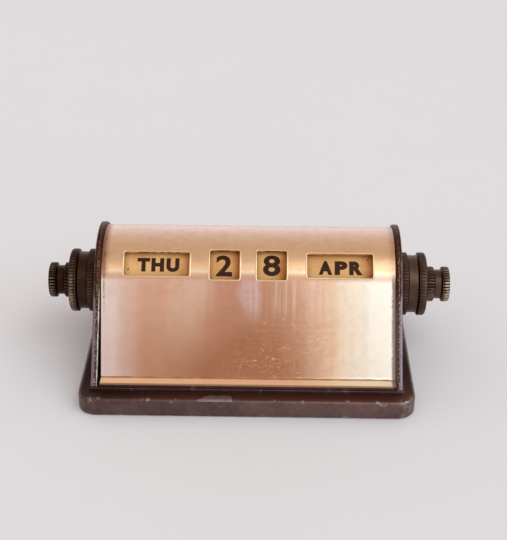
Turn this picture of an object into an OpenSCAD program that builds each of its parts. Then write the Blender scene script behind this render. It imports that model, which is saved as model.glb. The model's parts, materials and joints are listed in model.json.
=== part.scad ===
// Desk calendar: a copper hood on a bronze base, with four printed drums turned by coaxial knobs.
// The origin is the centre of the base on the table, with X to the right, Y to the back and Z up.

/* [Base] */
// Width of the base
base_w = 120; // [112:1:130]
// Depth of the base, front to back
base_d = 76; // [74:1:90]
// Height of the base's top above the table
base_h = 7; // [6:0.5:12]
// Radius of the base's upright corners
base_corner_r = 6.5; // [4:0.5:10]
// Rounding of the base's top edge
base_edge_r = 1.2; // [0.6:0.1:2]
// Rounding of the base's bottom edge
base_foot_r = 0.5; // [0.3:0.1:1]
// Width of the metal rim round the felt
base_rim = 4; // [3:0.5:6]
// Thickness of the felt under the base
felt_t = 1; // [0.6:0.1:1.6]
// How far the felt stands out below the rim
felt_proud = 0.2; // [0.1:0.1:0.3]
// Gap between the felt and its rim
felt_play = 0.15; // [0.1:0.05:0.3]

/* [Cradle] */
// Distance from the base's side to an end plate
side_margin = 4.5; // [3.5:0.5:6]
// Distance from the base's front to the end plates' feet
front_margin = 6.3; // [5:0.1:8]
// Thickness of the floor plate
floor_t = 1.2; // [0.8:0.1:2]
// How far the floor plate reaches past the end plates' front and back
floor_lead = 1; // [0.5:0.1:2]
// How far the floor plate reaches past the end plates' outer faces
floor_side = 0.5; // [0.3:0.1:1]
// Thickness of an end plate
plate_t = 2.3; // [1.6:0.1:3]
// Radius of the end plates' round top
plate_r = 22.2; // [20:0.1:23]
// Slope of the end plates' front edge, from the level
front_slope = 53.1; // [51:0.1:60]
// Break on the end plates' outer rim
plate_edge = 0.4; // [0.2:0.1:0.6]

/* [Cover] */
// How far the cover lies inside the end plates' outline
cover_inset = 1; // [0.6:0.1:1.5]
// Thickness of the copper sheet
cover_t = 0.65; // [0.5:0.05:0.9]
// Width of the lips that the sheet turns out along the floor
lip_w = 2; // [1.4:0.1:2]
// Gap between the cover and each end plate
cover_gap = 0.2; // [0.1:0.05:0.4]

/* [Windows] */
// Angle of the windows' middle above the level, seen from the axis
window_angle = 47.7; // [46:0.1:52]
// Width of the weekday and month windows
word_window_w = 23.6; // [20:0.1:25]
// Height of the weekday and month windows
word_window_h = 9; // [7:0.1:10]
// Width of the digit windows
digit_window_w = 10.7; // [9:0.1:11.5]
// Height of the digit windows
digit_window_h = 11; // [9:0.1:11.5]
// Radius of the windows' corners
window_corner_r = 0.6; // [0.4:0.1:1]
// Width of the bead raised round each window
bead_w = 0.6; // [0.4:0.1:0.8]
// Height of the bead
bead_h = 0.35; // [0.2:0.05:0.5]
// Distance from a word drum's inner end to its window
word_window_in = 4.3; // [3:0.1:6]

/* [Drums] */
// Gap between the cover and the printed strips
strip_gap = 1.85; // [1:0.05:2.5]
// Gap between the printed strips and the floor plate
floor_gap = 0.3; // [0.3:0.05:1]
// Thickness of a printed strip
strip_t = 0.25; // [0.15:0.05:0.4]
// How far a strip stays back from each end of its drum
strip_inset = 0.3; // [0.2:0.1:0.6]
// Length of a digit drum
digit_drum_l = 14.6; // [13.5:0.1:15]
// Gap between a digit drum and its word drum
drum_apart = 1.2; // [0.8:0.1:2]
// Gap between a word drum and its bush
drum_end_gap = 0.5; // [0.3:0.1:1]
// Wall of the drums
drum_wall = 0.8; // [0.6:0.1:1.2]
// Thickness of the drums' closed end
drum_web = 1; // [0.8:0.1:2]
// Radius of a word drum's hub
word_hub_r = 4.5; // [4:0.1:6]
// Length of a word drum's hub
word_hub_l = 7; // [5:0.5:10]
// Radius of a digit drum's hub
digit_hub_r = 3.4; // [3:0.1:4.5]
// Length of a digit drum's hub
digit_hub_l = 8; // [6:0.5:9]

/* [Shafts and bearings] */
// Radius of the two inner shafts
shaft_r = 1.5; // [1.2:0.05:1.8]
// Outer radius of the two sleeves
sleeve_r = 2.5; // [2.4:0.05:2.8]
// Radial clearance of what turns
running_fit = 0.05; // [0.02:0.01:0.1]
// Radial clearance of what is pressed or glued together
seat_fit = 0.01; // [0.01:0.01:0.03]
// Radius of the bushes in the end plates
bush_r = 4; // [3.6:0.1:5]
// Radius of the bushes' outer flange
bush_flange_r = 6; // [5.5:0.1:8]
// Thickness of the bushes' flange
bush_flange_t = 0.5; // [0.4:0.1:0.8]
// How far a bush reaches in past its end plate
bush_reach = 1.2; // [0.8:0.1:2]
// Thickness of the friction washers
washer_t = 0.35; // [0.2:0.05:0.4]
// Radius of the friction washers
washer_r = 5.5; // [4.5:0.1:8]
// Play between a friction washer and its knob
washer_play = 0.05; // [0.03:0.01:0.1]
// Thickness of the centre bracket
bracket_t = 1.2; // [0.8:0.1:1.6]
// Gap between the centre bracket and each digit drum
bracket_gap = 0.6; // [0.4:0.1:1]
// Radius of the centre bracket's head
bracket_head_r = 4.6; // [4.2:0.1:6]
// Width of the centre bracket's foot
bracket_foot_w = 15; // [10:0.5:20]
// Radius of the boss that carries the inner ends of the shafts
boss_r = 3; // [2.6:0.1:4]
// Length of that boss, through the bracket
boss_l = 5.4; // [4:0.1:6]
// Gap between the inner ends of the two shafts, in the boss
shaft_apart = 0.6; // [0.4:0.1:1]
// Width of the tenon that rivets the bracket to the floor plate
tenon_w = 6; // [4:0.5:8]

/* [Large knobs] */
// Radius of a large knob
big_r = 11.8; // [10:0.1:13]
// Radius of its groove
big_groove_r = 10.75; // [9:0.05:10.8]
// Width of its inner flange
big_flange_in = 2.4; // [1.8:0.1:3.5]
// Width of its groove's floor
big_groove_l = 3.1; // [2:0.1:3.5]
// Width of its outer flange, without the rounding
big_flange_out = 1.75; // [1.5:0.05:3]
// Width of the slopes beside its groove
big_step = 0.65; // [0.4:0.05:0.9]
// Rounding of its outer edge
big_edge = 1; // [0.6:0.1:1.4]
// Grooves in its knurl
big_teeth = 60; // [48:2:72]
// How far the left large knob stands further out than the right one
knob_lead = 0.8; // [0:0.1:1]

/* [Small knobs] */
// Play between a large knob and its small knob
knob_apart = 0.35; // [0.3:0.05:1]
// Radius of a small knob
small_r = 6.55; // [5.5:0.05:8]
// Radius of its groove
small_groove_r = 5.45; // [4.5:0.05:5.45]
// Width of its inner flange, on the right
small_flange_in = 2.6; // [2:0.1:3.2]
// Width of its groove's floor
small_groove_l = 2.1; // [1.5:0.1:3]
// Width of its outer flange, without the rounding
small_flange_out = 1.8; // [1.2:0.1:2.5]
// Width of the slopes beside its groove
small_step = 0.7; // [0.4:0.05:0.9]
// Rounding of its outer edge
small_edge = 0.7; // [0.4:0.1:1]
// Grooves in its knurl
small_teeth = 36; // [28:2:44]
// Metal left between the shaft's end and the small knob's face
small_cap = 1.5; // [1:0.1:2.5]

/* [Knurling and screws] */
// Depth of the knurls' grooves
knurl_depth = 0.35; // [0.2:0.05:0.5]
// Share of a knurl's pitch that its groove takes
knurl_share = 0.5; // [0.35:0.05:0.65]
// Radius of the base screws
screw_r = 1.5; // [1.2:0.1:2]
// Radius of the base screws' heads
screw_head_r = 2.8; // [2.4:0.1:3.5]
// Height of the base screws' heads
screw_head_h = 1.4; // [1:0.1:1.8]
// Clearance round the base screws
screw_play = 0.15; // [0.1:0.05:0.3]
// Distance of the base screws from the base's sides
screw_in_x = 18; // [14:1:24]
// Distance of the base screws from the base's front and back
screw_in_y = 16; // [14:1:20]

/* [Hidden] */
$fn = 64;

LEFT = -1;
RIGHT = 1;
cross = 0.01;         // a flat lies this far inside the arc it runs off, so that the two outlines cross
past = 1;             // how far a cut runs past the face it opens
round_steps = 4;      // bands in the rounding of a turned edge

// The radii from the end plates' outline in to the drums
cover_r = plate_r - cover_inset;
strip_r = cover_r - cover_t - strip_gap;
drum_r = strip_r - strip_t - seat_fit;

// Levels, and the place of the axis that all four drums share
pocket_z = felt_t;
floor_z = base_h + floor_t;
axis_z = floor_z + floor_gap + strip_r;
axis_y = -base_d / 2 + front_margin - front_reach(plate_r, floor_z);

// Places along the axis, from the middle out
plate_x = base_w / 2 - side_margin;
plate_in_x = plate_x - plate_t;
cover_x = plate_in_x - cover_gap;
digit_in_x = bracket_t / 2 + bracket_gap;
digit_out_x = digit_in_x + digit_drum_l;
word_in_x = digit_out_x + drum_apart;
word_out_x = plate_in_x - bush_reach - drum_end_gap;
small_out_x = small_in_x(RIGHT) + small_flange_in + small_groove_l + small_flange_out
  + 2 * small_step + small_edge;
digit_window_x = (digit_in_x + digit_out_x) / 2;
word_window_x = word_in_x + word_window_in + word_window_w / 2;

// The floor plate's front and back edges
floor_front_y = front_y(plate_r, floor_z) - floor_lead;
floor_back_y = axis_y + plate_r + floor_lead;

// How far the sloping front of an outline of radius r lies from the axis at height z, along Y
function front_reach(r, z) = ((z - axis_z) * cos(front_slope) - (r - cross)) / sin(front_slope);

// The same as a place in the model
function front_y(r, z) = axis_y + front_reach(r, z);

// How far the large knob of a side stands further out, on a thicker washer
function lead(side) = side == LEFT ? knob_lead : 0;

// Places of the large knobs' inner and outer faces and the small knobs' inner faces
function big_in_x(side) = plate_x + bush_flange_t + washer_t + lead(side) + washer_play;
function big_out_x(side) =
  big_in_x(side) + big_flange_in + big_groove_l + big_flange_out + 2 * big_step + big_edge;
function small_in_x(side) = big_out_x(side) + knob_apart;

// Points on a quarter circle about (x, y), from its right-hand end to its top
function quarter(x, y, r) =
  [for (i = [0:round_steps]) [x + r * cos(90 * i / round_steps), y + r * sin(90 * i / round_steps)]];

// Extrudes an outline drawn with Y to the right and Z up, from x0 to x1
module along_x(x0, x1) {
  translate([x0, 0, 0]) rotate([90, 0, 90]) linear_extrude(x1 - x0) children();
}

// Puts what is made along Z onto the drums' axis, on the right or mirrored to the left
module on_axis(side) {
  mirror([side == LEFT ? 1 : 0, 0, 0])
    translate([0, axis_y, axis_z]) rotate([0, 90, 0]) children();
}

// A tube along Z
module tube(r, bore_r, z0, z1) {
  difference() {
    translate([0, 0, z0]) cylinder(r = r, h = z1 - z0);
    translate([0, 0, z0 - past]) cylinder(r = bore_r, h = z1 - z0 + 2 * past);
  }
}

// A rectangle with round corners, about its middle
module rounded_rect(w, h, r) {
  square([w - 2 * r, h], center = true);
  square([w, h - 2 * r], center = true);
  for (sx = [-1, 1], sy = [-1, 1]) translate([sx * (w / 2 - r), sy * (h / 2 - r)]) circle(r);
}

// Half the section of the base: a block with a rounded top edge and foot, from its middle to reach
module base_section(reach) {
  polygon(concat(
    [[0, felt_proud]],
    [for (p = quarter(0, 0, base_foot_r))
      [reach - base_foot_r + p[1], felt_proud + base_foot_r - p[0]]],
    quarter(reach - base_edge_r, base_h - base_edge_r, base_edge_r),
    [[0, base_h]]
  ));
}

// The outline of the end plates, the cover and its inside: a round top, a sloping front, an upright back
module hood_outline(r, bottom_z) {
  difference() {
    union() {
      translate([axis_y, axis_z]) circle(r);
      hood_skirt(r, bottom_z);
    }
    translate([axis_y - 3 * r, bottom_z - 2 * r]) square([5 * r, 2 * r]);
  }
}

// What that outline has beside the circle, drawn on past its foot
module hood_skirt(r, bottom_z) {
  polygon([
    [axis_y, axis_z],
    [axis_y - (r - cross) * sin(front_slope), axis_z + (r - cross) * cos(front_slope)],
    [front_y(r, bottom_z - past), bottom_z - past],
    [axis_y + r - cross, bottom_z - past],
    [axis_y + r - cross, axis_z]
  ]);
}

module base() {
  corner_x = base_w / 2 - base_corner_r;
  corner_y = base_d / 2 - base_corner_r;
  color([0.23, 0.17, 0.14]) difference() {
    union() {
      for (sx = [-1, 1], sy = [-1, 1]) translate([sx * corner_x, sy * corner_y, 0])
        rotate_extrude() base_section(base_corner_r);
      for (turn = [0, 180]) rotate([0, 0, turn]) {
        along_x(-corner_x, corner_x) base_section(base_d / 2);
        rotate([0, 0, 90]) along_x(-corner_y, corner_y) base_section(base_w / 2);
      }
    }
    translate([0, 0, -past]) linear_extrude(pocket_z + past)
      rounded_rect(base_w - 2 * base_rim, base_d - 2 * base_rim, base_corner_r - base_rim / 2);
    at_screws() {
      cylinder(r = screw_head_r + screw_play, h = pocket_z + screw_head_h + screw_play);
      cylinder(r = screw_r + screw_play, h = base_h + past);
    }
  }
}

// Places a screw at each corner of the cradle
module at_screws() {
  for (sx = [-1, 1], sy = [-1, 1])
    translate([sx * (base_w / 2 - screw_in_x), sy * (base_d / 2 - screw_in_y), 0]) children();
}

module base_pad() {
  edge = base_rim + felt_play;
  color([0.2, 0.28, 0.2]) linear_extrude(felt_t)
    rounded_rect(base_w - 2 * edge, base_d - 2 * edge, base_corner_r - edge / 2);
}

module base_screws() {
  slot = screw_head_r / 4;
  color([0.6, 0.56, 0.5]) at_screws() translate([0, 0, pocket_z + screw_play]) difference() {
    union() {
      cylinder(r = screw_head_r, h = screw_head_h);
      cylinder(r = screw_r, h = floor_z - pocket_z - 2 * screw_play);
    }
    translate([-screw_head_r, -slot / 2, -past]) cube([2 * screw_head_r, slot, slot + past]);
  }
}

module floor_plate() {
  half_w = plate_x + floor_side;
  color([0.36, 0.33, 0.32]) difference() {
    translate([-half_w, floor_front_y, base_h])
      cube([2 * half_w, floor_back_y - floor_front_y, floor_t]);
    at_screws() cylinder(r = screw_r + seat_fit, h = floor_z + past);
    tenon(seat_fit, past);
  }
}

// The tenon of the centre bracket, or the slot for it with some play
module tenon(play, beyond) {
  x = bracket_t / 2 + play;
  w = tenon_w / 2 + play;
  translate([-x, axis_y - w, base_h - beyond]) cube([2 * x, 2 * w, floor_t + 2 * beyond]);
}

// Corners of an end plate's section across its rim, with both edges broken: rim lies at reach
function rim_section(reach) = [
  [plate_in_x, reach - plate_edge],
  [plate_in_x + plate_edge, reach],
  [plate_x - plate_edge, reach],
  [plate_x, reach - plate_edge]
];

// A slab as thick as an end plate, with a broken rim on the side that angle turns to, from Y
module rimmed_slab(angle) {
  far = 3 * plate_r;
  translate([0, axis_y, axis_z]) rotate([angle, 0, 0]) linear_extrude(2 * far, center = true)
    polygon(concat([[plate_in_x, -far]], rim_section(plate_r - cross), [[plate_x, -far]]));
}

// An end plate of the cradle: a turned disc run into a skirt with straight rims
module end_plate(side) {
  mirror([side == LEFT ? 1 : 0, 0, 0]) difference() {
    union() {
      on_axis(RIGHT) rotate_extrude()
        polygon(concat([[0, plate_in_x]], [for (p = rim_section(plate_r)) [p[1], p[0]]], [[0, plate_x]]));
      intersection() {
        along_x(plate_in_x - past, plate_x + past) hood_skirt(plate_r, floor_z);
        rimmed_slab(0);
        rimmed_slab(90 + front_slope);
      }
    }
    on_axis(RIGHT) cylinder(r = bush_r + seat_fit, h = base_w);
    translate([0, -base_d, -base_w + floor_z]) cube([base_w, 2 * base_d, base_w]);
  }
}

module left_end_plate() {
  color([0.27, 0.22, 0.2]) end_plate(LEFT);
}

module right_end_plate() {
  color([0.27, 0.22, 0.2]) end_plate(RIGHT);
}

// Stands a window's outline on the cover, square to the line from the axis, and runs it outwards
module through_window(x) {
  translate([x, axis_y, axis_z]) rotate([90 - window_angle, 0, 0])
    translate([0, 0, strip_r]) linear_extrude(plate_r) children();
}

// A window's place, width and height
windows = [
  [-word_window_x, word_window_w, word_window_h],
  [-digit_window_x, digit_window_w, digit_window_h],
  [digit_window_x, digit_window_w, digit_window_h],
  [word_window_x, word_window_w, word_window_h]
];

// The section of the bent sheet, with the lips that lie on the floor plate
module cover_section() {
  difference() {
    hood_outline(cover_r, floor_z);
    hood_outline(cover_r - cover_t, floor_z - past);
  }
  lip_y = front_y(cover_r, floor_z + cover_t) - lip_w;
  translate([lip_y, floor_z]) square([front_y(cover_r - cover_t, floor_z) - lip_y, cover_t]);
  translate([axis_y + cover_r - cover_t, floor_z]) square([cover_t + lip_w, cover_t]);
}

module cover() {
  color([0.8, 0.5, 0.35]) difference() {
    union() {
      along_x(-cover_x, cover_x) cover_section();
      for (w = windows) intersection() {
        along_x(w[0] - w[1], w[0] + w[1]) difference() {
          hood_outline(cover_r + bead_h, floor_z);
          hood_outline(cover_r - cover_t / 2, floor_z - past);
        }
        through_window(w[0])
          rounded_rect(w[1] + 2 * bead_w, w[2] + 2 * bead_w, window_corner_r + bead_w);
      }
    }
    for (w = windows) through_window(w[0]) rounded_rect(w[1], w[2], window_corner_r);
  }
}

// A bush pressed into an end plate, with its flange outside
module bush(side) {
  bore_r = sleeve_r + running_fit;
  color([0.62, 0.5, 0.3]) on_axis(side) rotate_extrude() polygon([
    [bore_r, plate_in_x - bush_reach],
    [bush_r, plate_in_x - bush_reach],
    [bush_r, plate_x],
    [bush_flange_r, plate_x],
    [bush_flange_r, plate_x + bush_flange_t],
    [bore_r, plate_x + bush_flange_t]
  ]);
}

module left_bush() {
  bush(LEFT);
}

module right_bush() {
  bush(RIGHT);
}

module washer(side) {
  x = plate_x + bush_flange_t;
  color([0.55, 0.55, 0.55]) on_axis(side)
    tube(washer_r, sleeve_r + 2 * running_fit, x, x + washer_t + lead(side));
}

module left_washer() {
  washer(LEFT);
}

module right_washer() {
  washer(RIGHT);
}

// The upright between the digit drums, which carries the inner ends of both shafts
module centre_bracket() {
  color([0.5, 0.42, 0.3]) difference() {
    union() {
      along_x(-bracket_t / 2, bracket_t / 2) {
        translate([axis_y, axis_z]) circle(bracket_head_r);
        polygon([
          [axis_y - bracket_head_r, axis_z],
          [axis_y - bracket_foot_w / 2, floor_z],
          [axis_y + bracket_foot_w / 2, floor_z],
          [axis_y + bracket_head_r, axis_z]
        ]);
      }
      tenon(0, 0);
      on_axis(RIGHT) translate([0, 0, -boss_l / 2]) cylinder(r = boss_r, h = boss_l);
    }
    on_axis(RIGHT) translate([0, 0, -boss_l]) cylinder(r = shaft_r + running_fit, h = 2 * boss_l);
  }
}

// The outline that a knurling wheel leaves: a ring of V grooves, deeper than the blank's rim
module knurl_outline(r, teeth) {
  polygon([
    for (i = [0:teeth - 1], p = [[0, r - knurl_depth], [knurl_share / 2, r], [1 - knurl_share / 2, r]])
      let (a = 360 * (i + p[0]) / teeth, out = p[1] / (p[1] < r ? 1 : cos(180 / teeth)))
        [out * cos(a), out * sin(a)]
  ]);
}

// A turned knob with two knurled flanges and a groove between slopes. x0 is its inner face, and the widths
// from flange_in to edge follow one another outwards.
module knob(r, groove_r, x0, flange_in, step, groove_l, flange_out, edge, teeth) {
  groove_x = x0 + flange_in + step;
  flange_x = groove_x + groove_l + step;
  intersection() {
    rotate_extrude() polygon(concat(
      [
        [0, x0],
        [r - knurl_depth, x0],
        [r, x0 + knurl_depth],
        [r, x0 + flange_in],
        [groove_r, groove_x],
        [groove_r, groove_x + groove_l],
        [r, flange_x]
      ],
      quarter(r - edge, flange_x + flange_out, edge),
      [[0, flange_x + flange_out + edge]]
    ));
    translate([0, 0, x0]) linear_extrude(flange_x + flange_out + edge - x0) knurl_outline(r, teeth);
  }
}

// A large knob, pressed on its sleeve
module big_knob(side) {
  color([0.22, 0.19, 0.16]) on_axis(side) difference() {
    knob(big_r, big_groove_r, big_in_x(side), big_flange_in, big_step, big_groove_l, big_flange_out,
      big_edge, big_teeth);
    translate([0, 0, big_in_x(side) - past]) cylinder(r = sleeve_r + seat_fit, h = big_out_x(side));
  }
}

// A small knob, pressed on its shaft. Both end at the same distance, so the left one's inner flange is narrower.
module small_knob(side) {
  color([0.3, 0.27, 0.22]) on_axis(side) difference() {
    knob(small_r, small_groove_r, small_in_x(side), small_flange_in - lead(side), small_step,
      small_groove_l, small_flange_out, small_edge, small_teeth);
    translate([0, 0, small_in_x(side) - past])
      cylinder(r = shaft_r + seat_fit, h = small_out_x - small_cap - small_in_x(side) + past);
  }
}

// A sleeve from the face of the large knob to the end of the word drum's hub
module sleeve(side) {
  color([0.66, 0.55, 0.35]) on_axis(side)
    tube(sleeve_r, shaft_r + running_fit, word_out_x - word_hub_l, big_out_x(side));
}

// A shaft from inside the small knob, through the sleeve and the digit drum, into the centre boss
module shaft(side) {
  start_x = shaft_apart / 2;
  color([0.6, 0.6, 0.6]) on_axis(side)
    translate([0, 0, start_x]) cylinder(r = shaft_r, h = small_out_x - small_cap - start_x);
}

// A drum like a deep cup: its closed end, at out_x, carries the hub
module drum(side, in_x, out_x, hub_r, hub_l, bore_r) {
  color([0.7, 0.68, 0.62]) on_axis(side) rotate_extrude() polygon([
    [bore_r, out_x],
    [drum_r, out_x],
    [drum_r, in_x],
    [drum_r - drum_wall, in_x],
    [drum_r - drum_wall, out_x - drum_web],
    [hub_r, out_x - drum_web],
    [hub_r, out_x - hub_l],
    [bore_r, out_x - hub_l]
  ]);
}

module word_drum(side) {
  drum(side, word_in_x, word_out_x, word_hub_r, word_hub_l, sleeve_r + seat_fit);
}

module digit_drum(side) {
  drum(side, digit_in_x, digit_out_x, digit_hub_r, digit_hub_l, shaft_r + seat_fit);
}

// The printed strip glued round a drum
module strip(side, in_x, out_x) {
  color([0.87, 0.8, 0.6]) on_axis(side)
    tube(strip_r, strip_r - strip_t, in_x + strip_inset, out_x - strip_inset);
}

module day_knob() {
  big_knob(LEFT);
}

module day_sleeve() {
  sleeve(LEFT);
}

module day_drum() {
  word_drum(LEFT);
}

module day_strip() {
  strip(LEFT, word_in_x, word_out_x);
}

module tens_knob() {
  small_knob(LEFT);
}

module tens_shaft() {
  shaft(LEFT);
}

module tens_drum() {
  digit_drum(LEFT);
}

module tens_strip() {
  strip(LEFT, digit_in_x, digit_out_x);
}

module units_knob() {
  small_knob(RIGHT);
}

module units_shaft() {
  shaft(RIGHT);
}

module units_drum() {
  digit_drum(RIGHT);
}

module units_strip() {
  strip(RIGHT, digit_in_x, digit_out_x);
}

module month_knob() {
  big_knob(RIGHT);
}

module month_sleeve() {
  sleeve(RIGHT);
}

module month_drum() {
  word_drum(RIGHT);
}

module month_strip() {
  strip(RIGHT, word_in_x, word_out_x);
}

base();
base_pad();
base_screws();
floor_plate();
left_end_plate();
right_end_plate();
cover();
left_bush();
right_bush();
left_washer();
right_washer();
centre_bracket();
day_knob();
day_sleeve();
day_drum();
day_strip();
tens_knob();
tens_shaft();
tens_drum();
tens_strip();
units_knob();
units_shaft();
units_drum();
units_strip();
month_knob();
month_sleeve();
month_drum();
month_strip();
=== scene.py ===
"""Desk calendar with turning drums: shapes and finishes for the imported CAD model, by Blender's own tools.

The file is laid out as an add-on. Settings hold the sizes and colours, one operator makes each group of
pieces, and a panel lists them. Lengths are metres, X runs to the right, Y to the back and Z up, as in the
CAD model.
"""

import json
import math

import bmesh
import bpy
import numpy as np
from bpy.props import FloatProperty, FloatVectorProperty, IntProperty, PointerProperty
from bpy.types import Operator, Panel, PropertyGroup
from mathutils import Matrix, Vector

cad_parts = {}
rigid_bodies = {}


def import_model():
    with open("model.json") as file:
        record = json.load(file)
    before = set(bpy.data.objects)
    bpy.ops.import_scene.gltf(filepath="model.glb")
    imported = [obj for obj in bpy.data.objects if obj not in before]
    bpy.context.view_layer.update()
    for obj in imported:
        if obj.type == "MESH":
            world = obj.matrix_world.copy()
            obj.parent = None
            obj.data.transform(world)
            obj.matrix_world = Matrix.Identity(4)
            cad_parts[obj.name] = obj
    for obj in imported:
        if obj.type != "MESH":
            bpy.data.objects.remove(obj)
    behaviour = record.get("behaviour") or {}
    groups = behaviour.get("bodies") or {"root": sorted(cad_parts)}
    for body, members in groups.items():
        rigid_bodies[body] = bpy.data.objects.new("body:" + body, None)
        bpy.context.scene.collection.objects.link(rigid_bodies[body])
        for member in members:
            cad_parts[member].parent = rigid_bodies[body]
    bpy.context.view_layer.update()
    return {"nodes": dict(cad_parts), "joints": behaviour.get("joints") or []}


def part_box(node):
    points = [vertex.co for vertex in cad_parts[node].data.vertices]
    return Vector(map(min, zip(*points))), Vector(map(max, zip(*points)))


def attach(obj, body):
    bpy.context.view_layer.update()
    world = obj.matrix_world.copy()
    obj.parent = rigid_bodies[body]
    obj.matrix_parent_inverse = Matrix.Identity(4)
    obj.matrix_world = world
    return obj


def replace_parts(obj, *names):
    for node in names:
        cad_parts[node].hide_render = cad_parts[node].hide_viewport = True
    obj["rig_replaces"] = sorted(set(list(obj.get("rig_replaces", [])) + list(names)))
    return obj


bl_info = {
    "name": "Desk Calendar",
    "version": (1, 0, 0),
    "blender": (4, 5, 0),
    "location": "3D View > Sidebar > Calendar",
    "description": "Builds a copper and bronze desk calendar with turning drums",
    "category": "Add Mesh",
}

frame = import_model()
AXIS = Vector(frame["joints"][0]["pos_m"])
MM = 0.001
WINDOW_EDGE = 0.05 * MM  # how far a line of points stands outside a window


# ---------------------------------------------------------------- places read from the CAD model


def reach(node):
    """Radius of a turned node about the drums' axis."""
    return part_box(node)[1].z - AXIS.z


def foot_tangent(radius, foot):
    """Where the line from foot (y, z) touches the circle of that radius round the axis, in front."""
    away = Vector((foot[0] - AXIS.y, foot[1] - AXIS.z))
    angle = math.atan2(away.y, away.x) - math.acos(radius / away.length)
    return Vector((AXIS.y + radius * math.cos(angle), AXIS.z + radius * math.sin(angle)))


# ---------------------------------------------------------------- settings


def length(name, default_mm, text, low=0.0):
    return FloatProperty(
        name=name, default=default_mm * MM, min=low, unit="LENGTH", precision=5, description=text
    )


def tint(name, rgb, text):
    return FloatVectorProperty(name=name, default=rgb, min=0, max=1, subtype="COLOR", description=text)


class CalendarBaseSettings(PropertyGroup):
    corner: length("Corner", 6.5, "Radius of the base's upright corners")
    top_edge: length("Top edge", 1.2, "Rounding of the base's top edge")
    foot_edge: length("Foot edge", 0.5, "Rounding of the base's bottom edge")
    rim: length("Rim", 4.0, "Width of the metal rim round the felt")
    pocket: length("Pocket", 0.8, "Depth of the felt's pocket")
    grid: length("Grid", 1.5, "Spacing of the mesh that the casting's unevenness works on", 0.0005)
    rough: length("Unevenness", 0.12, "Height of the casting's unevenness")


class CalendarCradleSettings(PropertyGroup):
    rim_break: length("Rim break", 0.45, "Rounding of the end plates' rim")
    floor_edge: length("Floor edge", 0.3, "Rounding of the floor plate's edges")
    rail_back: length(
        "Rail set-back", 0.55, "How far the rail under the lip stands behind the floor plate's front edge"
    )
    rail_w: length("Rail width", 2.1, "Width of the rail under the lip")
    rough: length("Unevenness", 0.07, "Height of the plates' unevenness")


class CalendarHoodSettings(PropertyGroup):
    sheet: length("Sheet", 0.63, "Thickness of the copper sheet")
    lip_bend: length("Lip bend", 0.2, "Radius of the bends along the lips")
    lip_rise: length("Lip rise", 1.45, "Height of the rail that carries the front lip")
    lip_back: length("Lip set-back", 0.15, "How far the front lip ends behind the floor plate's front edge")
    skew: length("Skewed cut", 1.0, "How much narrower the sheet is at its left foot, where it was cut askew")
    grid: length("Grid", 1.3, "Spacing of the sheet's mesh", 0.0005)
    wave: length("Wave", 0.1, "How far the sheet waves")
    bead: length("Bead", 0.32, "Radius of the bead round each window")
    word_x: length("Word windows", 33.1, "Distance of the weekday and month windows from the middle")
    word_w: length("Word window width", 23.6, "Width of the weekday and month windows")
    word_h: length("Word window height", 9.0, "Height of the weekday and month windows")
    digit_x: length("Digit windows", 8.5, "Distance of the digit windows from the middle")
    digit_w: length("Digit window width", 10.7, "Width of the digit windows")
    digit_h: length("Digit window height", 11.0, "Height of the digit windows")
    angle: FloatProperty(
        name="Window angle", default=math.radians(47.7), subtype="ANGLE",
        description="Angle of the windows' middle above the level, seen from the axis",
    )


class CalendarKnobSettings(PropertyGroup):
    depth: length("Small knurl depth", 0.35, "Depth of the grooves in a small knob's knurl")
    big_flange: length("Large inner flange", 2.4, "Width of a large knob's inner flange")
    big_groove_w: length("Large groove width", 3.1, "Width of the floor of a large knob's groove")
    big_slope: length("Large slope", 0.65, "Width of the slopes beside a large knob's groove")
    big_edge: length("Large edge", 1.0, "Rounding of a large knob's outer edge")
    big_groove: length("Large groove", 10.75, "Radius of a large knob's groove")
    big_depth: length("Large knurl depth", 0.2, "Depth of the grooves in a large knob's knurl")
    big_teeth: IntProperty(
        name="Large teeth", default=60, min=24, description="Grooves in a large knob's knurl"
    )
    small_flange: length(
        "Small outer flange", 1.8, "Width of a small knob's outer flange, without its rounding"
    )
    small_groove_w: length("Small groove width", 2.1, "Width of the floor of a small knob's groove")
    small_slope: length("Small slope", 0.7, "Width of the slopes beside a small knob's groove")
    small_edge: length("Small edge", 0.7, "Rounding of a small knob's outer edge")
    small_groove: length("Small groove", 5.45, "Radius of a small knob's groove")
    small_teeth: IntProperty(
        name="Small teeth", default=36, min=16, description="Grooves in a small knob's knurl"
    )


class CalendarLetterSettings(PropertyGroup):
    word_h: length("Word height", 5.25, "Height of the weekdays' and months' letters")
    digit_h: length("Digit height", 8.0, "Height of the digits")
    word_weight: FloatProperty(
        name="Word weight", default=0.068, description="How far the words' outlines are fattened"
    )
    digit_weight: FloatProperty(
        name="Digit weight", default=0.030, description="How far the digits' outlines are fattened"
    )
    word_space: FloatProperty(name="Word spacing", default=1.25, description="Spacing of the words' letters")
    pin: length("Pin", 0.3, "Radius of the pin heads in the weekday and month strips")
    ink: length("Ink", 0.03, "How far the ink stands off the paper")
    row: length("Row", 0.8, "Height of the rows that let a letter follow the drum", 0.0002)


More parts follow.
